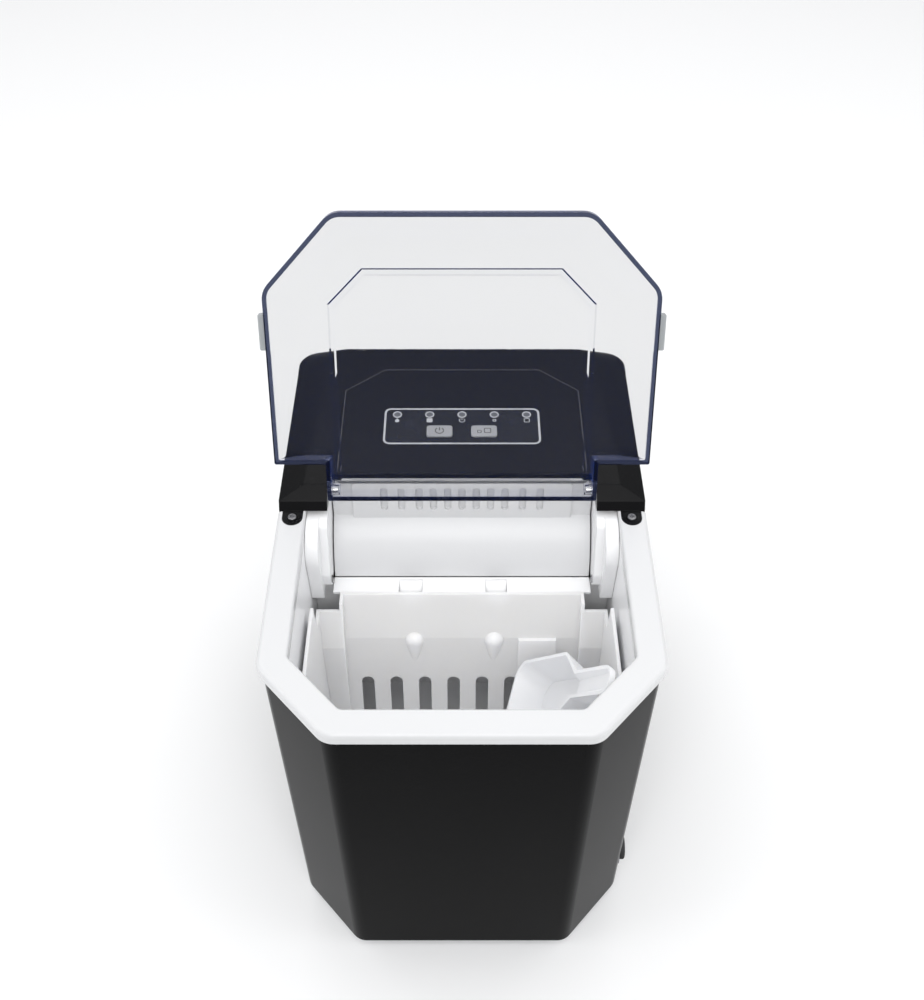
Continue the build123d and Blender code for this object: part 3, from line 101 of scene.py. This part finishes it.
def make_studio():
    """Soft white light from all round."""
    middle = (0.0, 0.0, RIM * 0.8)
    for name, place, size, power in SOFTBOXES:
        area_light(name, place, middle, size, power)
    world = bpy.data.worlds.new("studio")
    bpy.context.scene.world = world
    world.use_nodes = True
    background = world.node_tree.nodes["Background"]
    background.inputs["Color"].default_value = (0.97, 0.98, 1.0, 1.0)
    background.inputs["Strength"].default_value = WORLD_STRENGTH
    bpy.context.scene.view_settings.view_transform = "Standard"


def make_floor():
    """A plain pale floor."""
    mesh = bpy.data.meshes.new("floor")
    half = FLOOR_SIZE / 2
    corners = [(-half, -half, 0), (half, -half, 0), (half, half, 0), (-half, half, 0)]
    mesh.from_pydata(corners, [], [(0, 1, 2, 3)])
    floor = bpy.data.objects.new("floor", mesh)
    bpy.context.collection.objects.link(floor)
    material = bpy.data.materials.new("floor")
    material.use_nodes = True
    shader = material.node_tree.nodes["Principled BSDF"]
    shader.inputs["Base Color"].default_value = (FLOOR_GREY, FLOOR_GREY, FLOOR_GREY, 1.0)
    shader.inputs["Roughness"].default_value = 0.9
    shader.inputs["Specular IOR Level"].default_value = 0.1
    mesh.materials.append(material)


# ---------------------------------------------------------------- material building blocks
HAIRLINE_STRETCH = (1.0, 14.0, 14.0)


class Surface:
    """A node material with one Principled shader and a few ways of adding detail to it."""

    def __init__(self, name, colour, roughness, metallic=0.0, **sockets):
        self.material = bpy.data.materials.new(name)
        self.material.use_nodes = True
        self.nodes = self.material.node_tree.nodes
        self.links = self.material.node_tree.links
        self.shader = self.nodes["Principled BSDF"]
        self.colour = (*colour, 1.0)
        self.shader.inputs["Base Color"].default_value = self.colour
        self.shader.inputs["Roughness"].default_value = roughness
        self.shader.inputs["Metallic"].default_value = metallic
        for socket, value in sockets.items():
            self.shader.inputs[socket.replace("_", " ")].default_value = value
        self.place = self.nodes.new("ShaderNodeTexCoord").outputs["Object"]
        self.normal = None

    def mapped(self, stretch):
        """Object coordinates, stretched along each axis."""
        mapping = self.nodes.new("ShaderNodeMapping")
        mapping.inputs["Scale"].default_value = stretch
        self.links.new(self.place, mapping.inputs["Vector"])
        return mapping.outputs["Vector"]

    def noise(self, scale, detail=3.0, stretch=None, rough=0.55):
        """Fractal noise in object space, from about 0.3 to 0.7."""
        node = self.nodes.new("ShaderNodeTexNoise")
        node.inputs["Scale"].default_value = scale
        node.inputs["Detail"].default_value = detail
        node.inputs["Roughness"].default_value = rough
        self.links.new(self.mapped(stretch) if stretch else self.place, node.inputs["Vector"])
        return node.outputs["Fac"]

    def crystals(self, scale):
        """A random value for each cell of a Voronoi pattern."""
        node = self.nodes.new("ShaderNodeTexVoronoi")
        node.inputs["Scale"].default_value = scale
        self.links.new(self.place, node.inputs["Vector"])
        return node.outputs["Color"]

    def ramp(self, value, start, end, low_value, high_value):
        """Maps value from start..end to low_value..high_value, clamped."""
        node = self.nodes.new("ShaderNodeMapRange")
        node.inputs["From Min"].default_value = start
        node.inputs["From Max"].default_value = end
        node.inputs["To Min"].default_value = low_value
        node.inputs["To Max"].default_value = high_value
        self.links.new(value, node.inputs["Value"])
        return node.outputs["Result"]

    def mix_colour(self, factor, colour_a, colour_b):
        """A colour between two, by factor; either may be a socket."""
        node = self.nodes.new("ShaderNodeMix")
        node.data_type = "RGBA"
        self.links.new(factor, node.inputs["Factor"])
        for socket, colour in ((node.inputs[6], colour_a), (node.inputs[7], colour_b)):
            if isinstance(colour, bpy.types.NodeSocket):
                self.links.new(colour, socket)
            else:
                socket.default_value = (*colour, 1.0)
        return node.outputs[2]

    def tint(self, colour):
        """Feeds a colour socket to the shader."""
        self.links.new(colour, self.shader.inputs["Base Color"])
        return self

    def vary_colour(self, other, scale=18.0, start=0.42, end=0.62, detail=3.0, stretch=None):
        """Cloudy drift between the base colour and another one."""
        factor = self.ramp(self.noise(scale, detail, stretch), start, end, 0.0, 1.0)
        return self.tint(self.mix_colour(factor, self.colour[:3], other))

    def vary_roughness(self, low_value, high_value, scale=40.0, stretch=None):
        """Cloudy drift of the roughness between two values."""
        value = self.ramp(self.noise(scale, 4.0, stretch), 0.35, 0.68, low_value, high_value)
        self.links.new(value, self.shader.inputs["Roughness"])
        return self

    def soften(self, radius):
        """Shades hard edges as if they were rounded by the radius."""
        node = self.nodes.new("ShaderNodeBevel")
        node.samples = 4
        node.inputs["Radius"].default_value = radius
        self.normal = node.outputs["Normal"]
        self.links.new(self.normal, self.shader.inputs["Normal"])
        return self

    def bump(self, height, depth):
        """Adds a bump of the given depth in metres from a height socket."""
        node = self.nodes.new("ShaderNodeBump")
        node.inputs["Strength"].default_value = 1.0
        node.inputs["Distance"].default_value = depth
        self.links.new(height, node.inputs["Height"])
        if self.normal:
            self.links.new(self.normal, node.inputs["Normal"])
        self.normal = node.outputs["Normal"]
        self.links.new(self.normal, self.shader.inputs["Normal"])
        return self

    def grain(self, scale, depth, detail=2.0, stretch=None):
        """Fine moulded or cast grain."""
        return self.bump(self.noise(scale, detail, stretch), depth)

    def scratches(self, depth):
        """Faint hairlines that break the gloss, from stretched noise."""
        lines = self.ramp(self.noise(260.0, 2.0, HAIRLINE_STRETCH, 0.7), 0.66, 0.74, 0.0, 1.0)
        return self.bump(lines, depth)


def wear(node, surface):
    """Gives a CAD node or a new piece this surface all over."""
    piece = NODES.get(node) if isinstance(node, str) else node
    material = surface.material if isinstance(surface, Surface) else surface
    piece.data.materials.clear()
    piece.data.materials.append(material)


# ---------------------------------------------------------------- materials
# painted light in the tones: the collar's white is set darker, and the liner's and basket's whites lighter,
# standing in for the strong light on the collar and the shade deep in the tank
COLLAR_TONE_WITH_PAINTED_SHADE = (0.66, 0.663, 0.67)
LINER_TONE_WITH_PAINTED_LIGHT = (0.93, 0.932, 0.937)
BASKET_TONE_WITH_PAINTED_LIGHT = (0.91, 0.912, 0.925)
CLEAR = (0.80, 0.80, 0.79)
# painted shade: the near-black colour given to the lid's cut edge
CUT_EDGE_PAINTED_SHADE = (0.006, 0.008, 0.02)
LID_OPEN = 111.5              # degrees that the lid stands open at rest
PAINTED_SHADE_HEIGHT = 0.0010             # height of the lid's edge given painted shade, in metres


def white_gloss(name, tone, roughness):
    """Glossy white appliance plastic, a touch cool, with hairlines and a faint orange peel."""
    surface = Surface(name, tone, roughness, Specular_IOR_Level=0.45, Coat_Weight=0.18, Coat_Roughness=0.12)
    surface.soften(0.0006)
    surface.vary_colour(tuple(c * 0.98 for c in tone), scale=7.0, start=0.3, end=0.7, detail=1.0)
    surface.vary_roughness(roughness * 0.98, roughness * 1.04, scale=30.0)
    surface.grain(420.0, 0.00002)
    surface.scratches(0.000012)
    return surface


def frosted(name, tone, see):
    """Milky polypropylene: soft, slightly see-through by scatter, with fine moulding grain."""
    surface = Surface(
        name, tone, 0.34, Subsurface_Weight=see, Subsurface_Scale=0.01, Specular_IOR_Level=0.45
    )
    surface.shader.inputs["Subsurface Radius"].default_value = (0.9, 0.95, 1.1)
    surface.vary_colour(tuple(c * 0.985 for c in tone), scale=9.0, start=0.3, end=0.7, detail=1.0)
    surface.vary_roughness(0.32, 0.37, scale=55.0)
    surface.grain(900.0, 0.000018)
    return surface


def black_satin(name, tone, roughness, specular, texture):
    """Dark satin plastic or paint with a spark-eroded texture and faint handling marks."""
    surface = Surface(name, tone, roughness, Specular_IOR_Level=specular)
    surface.soften(0.0007)
    surface.vary_colour(tuple(c * 1.12 for c in tone), scale=22.0)
    surface.vary_roughness(roughness * 0.95, roughness * 1.08, scale=26.0)
    surface.grain(2600.0, texture, detail=1.0)
    surface.scratches(0.00001)
    return surface


def clear_lid():
    """Clear plastic with a navy haze, and painted shade along the cut edge, where one looks along the
    plastic.
    """
    surface = Surface(
        "lid_clear",
        CLEAR,
        0.02,
        Transmission_Weight=1.0,
        IOR=1.2,
        Sheen_Weight=0.13,
        Sheen_Roughness=0.6,
    )
    surface.shader.inputs["Sheen Tint"].default_value = (0.01, 0.11, 0.75, 1.0)
    hinge = (low("lid_hinge_pins") + high("lid_hinge_pins")) / 2
    swing = math.radians(LID_OPEN)
    upright = surface.nodes.new("ShaderNodeVectorMath")
    upright.operation = "DOT_PRODUCT"
    upright.inputs[1].default_value = (0.0, math.sin(swing), math.cos(swing))
    surface.links.new(surface.place, upright.inputs[0])
    collar_level = RIM - hinge.z + math.sin(swing) * hinge.y + math.cos(swing) * hinge.z
    cut_start, cut_end = collar_level + PAINTED_SHADE_HEIGHT, collar_level + PAINTED_SHADE_HEIGHT * 0.8
    # painted shade: a band at the cut edge is mixed to near-black, standing in for the dark look along
    # clear plastic
    painted_edge = surface.ramp(upright.outputs["Value"], cut_start, cut_end, 0.0, 1.0)
    surface.tint(surface.mix_colour(painted_edge, CLEAR, CUT_EDGE_PAINTED_SHADE))
    surface.grain(45.0, 0.00002, detail=2.0)
    surface.scratches(0.000004)
    tree = surface.material.node_tree
    output = next(node for node in tree.nodes if node.type == "OUTPUT_MATERIAL")
    absorb = surface.nodes.new("ShaderNodeVolumeAbsorption")
    absorb.inputs["Color"].default_value = (0.42, 0.44, 0.56, 1.0)
    absorb.inputs["Density"].default_value = 18.0
    surface.links.new(absorb.outputs[0], output.inputs["Volume"])
    return surface


def brushed(name, tone, roughness, direction):
    """Metal with drawn or brushed lines."""
    surface = Surface(name, tone, roughness, metallic=1.0)
    surface.vary_colour(tuple(c * 0.82 for c in tone), scale=35.0, stretch=direction)
    surface.vary_roughness(roughness * 0.8, roughness * 1.5, scale=160.0, stretch=direction)
    surface.grain(700.0, 0.00002, stretch=direction)
    return surface


SPANGLE_SCALE = 150.0


def spangled_zinc():
    """Hot-dip zinc with its crystal spangle."""
    surface = Surface("zinc", (0.62, 0.64, 0.66), 0.42, metallic=1.0)
    bright = surface.ramp(surface.crystals(SPANGLE_SCALE), 0.0, 1.0, 0.0, 1.0)
    surface.tint(surface.mix_colour(bright, (0.50, 0.52, 0.55), (0.72, 0.74, 0.77)))
    surface.grain(500.0, 0.00003)
    return surface


def circuit_board():
    """Green solder mask with paler tracks."""
    surface = Surface("circuit_board", (0.012, 0.10, 0.045), 0.32)
    brick = surface.nodes.new("ShaderNodeTexBrick")
    brick.inputs["Scale"].default_value = 260.0
    brick.inputs["Mortar Size"].default_value = 0.05
    brick.inputs["Color1"].default_value = (0.010, 0.085, 0.040, 1.0)
    brick.inputs["Color2"].default_value = (0.014, 0.115, 0.052, 1.0)
    brick.inputs["Mortar"].default_value = (0.030, 0.20, 0.085, 1.0)
    surface.links.new(surface.place, brick.inputs["Vector"])
    surface.tint(brick.outputs["Color"])
    surface.bump(brick.outputs["Fac"], 0.00006)
    return surface


def rubber(name, tone):
    """Matt rubber with a dusty bloom."""
    surface = Surface(name, tone, 0.72, Specular_IOR_Level=0.3)
    surface.vary_colour(tuple(min(1.0, c * 1.6 + 0.01) for c in tone), scale=60.0)
    surface.vary_roughness(0.6, 0.85, scale=90.0)
    surface.grain(1500.0, 0.00005)
    return surface


def dress_cad():
    """Every CAD node gets its finish."""
    # the collar, liner and basket tones carry painted light and shade, set against the light that falls on
    # them
    collar = white_gloss("collar_white", COLLAR_TONE_WITH_PAINTED_SHADE, 0.24)
    liner = white_gloss("liner_white", LINER_TONE_WITH_PAINTED_LIGHT, 0.34)
    shovel = white_gloss("shovel_white", (0.70, 0.703, 0.71), 0.36)
    milky = frosted("basket_milky", BASKET_TONE_WITH_PAINTED_LIGHT, 0.5)
    scoop = frosted("scoop_milky", (0.86, 0.865, 0.88), 0.22)
    body = black_satin("body_black", (0.0030, 0.0030, 0.0033), 0.17, 0.018, 0.000005)
    panel = black_satin("panel_paint", (0.011, 0.011, 0.012), 0.36, 0.3, 0.00003)
    cover = black_satin("cover_black", (0.004, 0.004, 0.0045), 0.22, 0.11, 0.000006)
    inner_black = black_satin("inner_black", (0.028, 0.028, 0.030), 0.5, 0.4, 0.00003)
    grey = black_satin("moulded_grey", (0.22, 0.225, 0.24), 0.45, 0.4, 0.00003)
    button = black_satin("button_grey", (0.33, 0.335, 0.35), 0.42, 0.4, 0.00002)
    grip = frosted("grip_milky", (0.33, 0.345, 0.35), 0.25)
    film = Surface("label_film", (0.005, 0.006, 0.009), 0.2, Specular_IOR_Level=0.2)
    film.vary_colour((0.007, 0.008, 0.012), scale=30.0).vary_roughness(0.18, 0.24, scale=35.0)
    film.grain(900.0, 0.000006)
    lens = frosted("lens_milky", (0.10, 0.105, 0.12), 0.3)
    nickel = brushed("nickel", (0.70, 0.69, 0.67), 0.22, (1.0, 1.0, 0.12))
    screw = brushed("blackened_steel", (0.26, 0.26, 0.27), 0.3, (1.0, 1.0, 1.0))
    steel = brushed("plated_steel", (0.74, 0.74, 0.75), 0.25, (1.0, 1.0, 1.0))
    fins = brushed("fin_aluminium", (0.74, 0.75, 0.76), 0.34, (1.0, 0.1, 1.0))
    copper = brushed("copper", (0.80, 0.42, 0.25), 0.3, (0.3, 1.0, 1.0))
    brass = brushed("brass", (0.74, 0.58, 0.28), 0.3, (1.0, 1.0, 0.3))
    enamel = black_satin("compressor_enamel", (0.012, 0.012, 0.013), 0.2, 0.5, 0.00004)
    dark_rubber = rubber("black_rubber", (0.022, 0.022, 0.023))
    hose = frosted("hose_silicone", (0.66, 0.68, 0.70), 0.3)
    sensor_dark = Surface("sensor_dark", (0.006, 0.005, 0.008), 0.08, Coat_Weight=0.5)
    sensor_dark.grain(600.0, 0.00001)
    sensor_grey = Surface("sensor_grey", (0.16, 0.16, 0.18), 0.1, Coat_Weight=0.5)
    sensor_grey.grain(600.0, 0.00001)
    dressing = {
        collar: ["top_collar"],
        liner: ["inner_tank", "partition", "left_cheek", "right_cheek", "chamber_cover", "water_tray"],
        shovel: ["ice_shovel"],
        milky: ["ice_basket"],
        scoop: ["ice_scoop"],
        body: ["body_shell"],
        panel: ["rear_panel"],
        cover: ["top_cover"],
        inner_black: ["cord_inlet", "fan_shroud", "fan_rotor", "terminal_box"],
        grey: ["tray_motor", "water_pump", "pump_impeller", "water_probe", "fan_motor", "drain_spout"],
        button: ["power_button", "select_button"],
        grip: ["lid_grips"],
        film: ["control_label"],
        lens: ["led_lenses"],
        nickel: ["evaporator"],
        screw: ["cover_screws", "rear_screws"],
        steel: ["lid_hinge_pins", "tray_shafts", "compressor_bolts"],
        fins: ["condenser"],
        copper: [
            "evaporator_tube",
            "suction_pipe",
            "discharge_pipe",
            "liquid_pipe",
            "capillary_tube",
            "filter_drier",
        ],
        brass: ["hot_gas_valve"],
        enamel: ["compressor"],
        dark_rubber: ["feet", "compressor_mounts", "drain_gasket", "drain_plug"],
        hose: ["water_hose"],
        sensor_dark: ["left_ice_sensor"],
        sensor_grey: ["right_ice_sensor"],
        spangled_zinc(): ["base_plate"],
        circuit_board(): ["display_board", "main_board"],
        clear_lid(): ["lid"],
    }
    for surface, names in dressing.items():
        for name in names:
            wear(name, surface)


# ---------------------------------------------------------------- printed label and button icons
PRINT_THICKNESS = 0.00005
OUTLINE_WIDTH = 1.3 * MM
LABEL_SINK = 0.1 * MM          # the label lies this much below the raised panel's top
PLATEAU_HALF = 77.3 * MM
PLATEAU_NOSE = 51.9 * MM
PLATEAU_START = 178.5 * MM     # distances from the collar's front
PLATEAU_TURN = 253.8 * MM
PLATEAU_REAR = 274.9 * MM
EDGE_WIDTH = 0.7 * MM
LABEL_CORNER = 4.4 * MM
ICON_DROP = 5.3 * MM           # from the lamps' row down to the signs' row
ICON_SIZE = 3.8 * MM
ICON_LINE = 0.5 * MM
LAMPS = 5
RING_RADIUS = 2.95 * MM
RING_GAP = 0.05 * MM
RING_HEIGHT = 0.0002
CURVE_STEPS = 8


def rounded_rectangle(centre, size, radius):
    """Points of a rounded rectangle, anticlockwise."""
    x, y = centre
    half_x, half_y = size[0] / 2 - radius, size[1] / 2 - radius
    points = []
    for quarter, (sx, sy) in enumerate(((1, 1), (-1, 1), (-1, -1), (1, -1))):
        for step in range(CURVE_STEPS + 1):
            turn = math.pi / 2 * (quarter + step / CURVE_STEPS)
            across, up = radius * math.cos(turn), radius * math.sin(turn)
            points.append((x + sx * half_x + across, y + sy * half_y + up))
    return points


def circle(centre, radius, steps=32):
    """Points of a circle, anticlockwise."""
    turns = [math.tau * k / steps for k in range(steps)]
    return [(centre[0] + radius * math.cos(t), centre[1] + radius * math.sin(t)) for t in turns]


def strip(points, width):
    """Outline of a line of the given width along open points."""
    left, right = [], []
    for index, point in enumerate(points):
        before = Vector(points[max(index - 1, 0)])
        after = Vector(points[min(index + 1, len(points) - 1)])
        along = (after - before).normalized()
        across = Vector((-along.y, along.x)) * width / 2
        left.append(tuple(Vector(point) + across))
        right.append(tuple(Vector(point) - across))
    return left + right[::-1]


def printed(name, loops, base, thickness, surface, body):
    """A thin flat piece from closed loops, a loop inside another being a hole."""
    curve = bpy.data.curves.new(name, "CURVE")
    curve.dimensions = "2D"
    curve.fill_mode = "BOTH"
    curve.extrude = thickness / 2
    for loop in loops:
        spline = curve.splines.new("POLY")
        spline.points.add(len(loop) - 1)
        for point, (x, y) in zip(spline.points, loop):
            point.co = (x, y, 0.0, 1.0)
        spline.use_cyclic_u = True
    source = bpy.data.objects.new(name + "_curve", curve)
    mesh = bpy.data.meshes.new_from_object(source)
    bpy.data.objects.remove(source)
    mesh.transform(Matrix.Translation((0.0, 0.0, base + thickness / 2)))
    mesh.name = name
    piece = bpy.data.objects.new(name, mesh)
    bpy.context.collection.objects.link(piece)
    wear(piece, surface)
    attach(piece, body)
    return piece


def arc(centre, radius, start, end, steps=20):
    """Points of an arc, angles in degrees anticlockwise from +X."""
    turns = [math.radians(start + (end - start) * k / steps) for k in range(steps + 1)]
    return [(centre[0] + radius * math.cos(t), centre[1] + radius * math.sin(t)) for t in turns]


def droplet(centre, size):
    """A water drop with its point up."""
    x, y = centre
    body = arc((x, y - size * 0.12), size * 0.36, -215, 35)
    return [body + [(x, y + size * 0.55)]]


def cube(centre, size, line, filled=False):
    """An ice cube as a rounded square outline, or filled for the full sign."""
    loops = [rounded_rectangle(centre, (size, size), size * 0.2)]
    if not filled:
        loops.append(rounded_rectangle(centre, (size - 2 * line, size - 2 * line), size * 0.1))
    return loops


def power_sign(centre, size, line):
    """An open ring with a bar in its gap."""
    ring = strip(arc(centre, size / 2, 125, 415, 32), line)
    bar = rounded_rectangle((centre[0], centre[1] + size * 0.3), (line, size * 0.55), line * 0.4)
    return [ring, bar]


def dress_plateau():
    """A painted highlight along the edge of the cover's raised panel."""
    # painted highlight: a paler grey strip standing in for light caught on the raised panel's edge
    painted_edge = black_satin("plateau_painted_highlight", (0.05, 0.05, 0.055), 0.3, 0.4, 0.000005)
    half, waist = PLATEAU_HALF - EDGE_WIDTH, PLATEAU_NOSE - EDGE_WIDTH / 2
    path = [
        (-half, FRONT + PLATEAU_START),
        (-half, FRONT + PLATEAU_TURN),
        (-waist, FRONT + PLATEAU_REAR),
        (waist, FRONT + PLATEAU_REAR),
        (half, FRONT + PLATEAU_TURN),
        (half, FRONT + PLATEAU_START),
    ]
    base = LABEL_TOP + LABEL_SINK
    outline = [strip(path, EDGE_WIDTH)]
    printed("plateau_painted_highlight", outline, base, PRINT_THICKNESS, painted_edge, "cabinet")


def dress_label():
    """The label's outline, the rings round the lamps and the signs of lamps and buttons."""
    ink = Surface("label_ink", (0.52, 0.53, 0.56), 0.42, Specular_IOR_Level=0.35)
    ink.vary_colour((0.44, 0.45, 0.48), scale=120.0).vary_roughness(0.36, 0.52, scale=90.0)
    ink.grain(2200.0, 0.000006)
    dark_ink = Surface("button_ink", (0.06, 0.06, 0.065), 0.5)
    dark_ink.vary_colour((0.10, 0.10, 0.105), scale=150.0).grain(2200.0, 0.000006)
    label_low, label_high = low("control_label"), high("control_label")
    centre = ((label_low.x + label_high.x) / 2, (label_low.y + label_high.y) / 2)
    size = (label_high.x - label_low.x, label_high.y - label_low.y)
    inner = (size[0] - 2 * OUTLINE_WIDTH, size[1] - 2 * OUTLINE_WIDTH)
    frame_line = [
        rounded_rectangle(centre, size, LABEL_CORNER),
        rounded_rectangle(centre, inner, LABEL_CORNER - OUTLINE_WIDTH),
    ]
    printed("label_outline", frame_line, LABEL_TOP, PRINT_THICKNESS, ink, "cabinet")
    lens_low, lens_high = low("led_lenses"), high("led_lenses")
    row = (lens_low.y + lens_high.y) / 2
    radius = (lens_high.y - lens_low.y) / 2
    first = lens_low.x + radius
    pitch = (lens_high.x - lens_low.x - 2 * radius) / (LAMPS - 1)
    icon_row = row - ICON_DROP
    signs = [
        droplet((first, icon_row), ICON_SIZE),
        cube((first + pitch, icon_row), ICON_SIZE, ICON_LINE, filled=True),
        power_sign((first + 2 * pitch, icon_row), ICON_SIZE * 0.9, ICON_LINE),
        cube((first + 3 * pitch, icon_row), ICON_SIZE * 0.6, ICON_LINE),
        cube((first + 4 * pitch, icon_row), ICON_SIZE, ICON_LINE),
    ]
    rings = []
    for index in range(LAMPS):
        place = (first + pitch * index, row)
        rings += [circle(place, RING_RADIUS), circle(place, radius + RING_GAP)]
    printed("led_rings", rings, LABEL_TOP, RING_HEIGHT, ink, "cabinet")
    sign_loops = [loop for sign in signs for loop in sign]
    printed("label_signs", sign_loops, LABEL_TOP, PRINT_THICKNESS, ink, "cabinet")
    for button in ("power_button", "select_button"):
        corner, top = low(button), high(button)
        middle = ((corner.x + top.x) / 2, (corner.y + top.y) / 2)
        if button == "power_button":
            loops = power_sign(middle, 5.2 * MM, 0.75 * MM)
        else:
            left = (middle[0] - 3.0 * MM, middle[1] - 0.9 * MM)
            right = (middle[0] + 2.2 * MM, middle[1])
            loops = cube(left, 2.8 * MM, 0.55 * MM) + cube(right, 4.6 * MM, 0.6 * MM)
        printed(button + "_sign", loops, top.z, PRINT_THICKNESS, dark_ink, button)


make_camera()
make_studio()
make_floor()
dress_cad()
dress_plateau()
dress_label()
NODES["lid"].visible_shadow = False
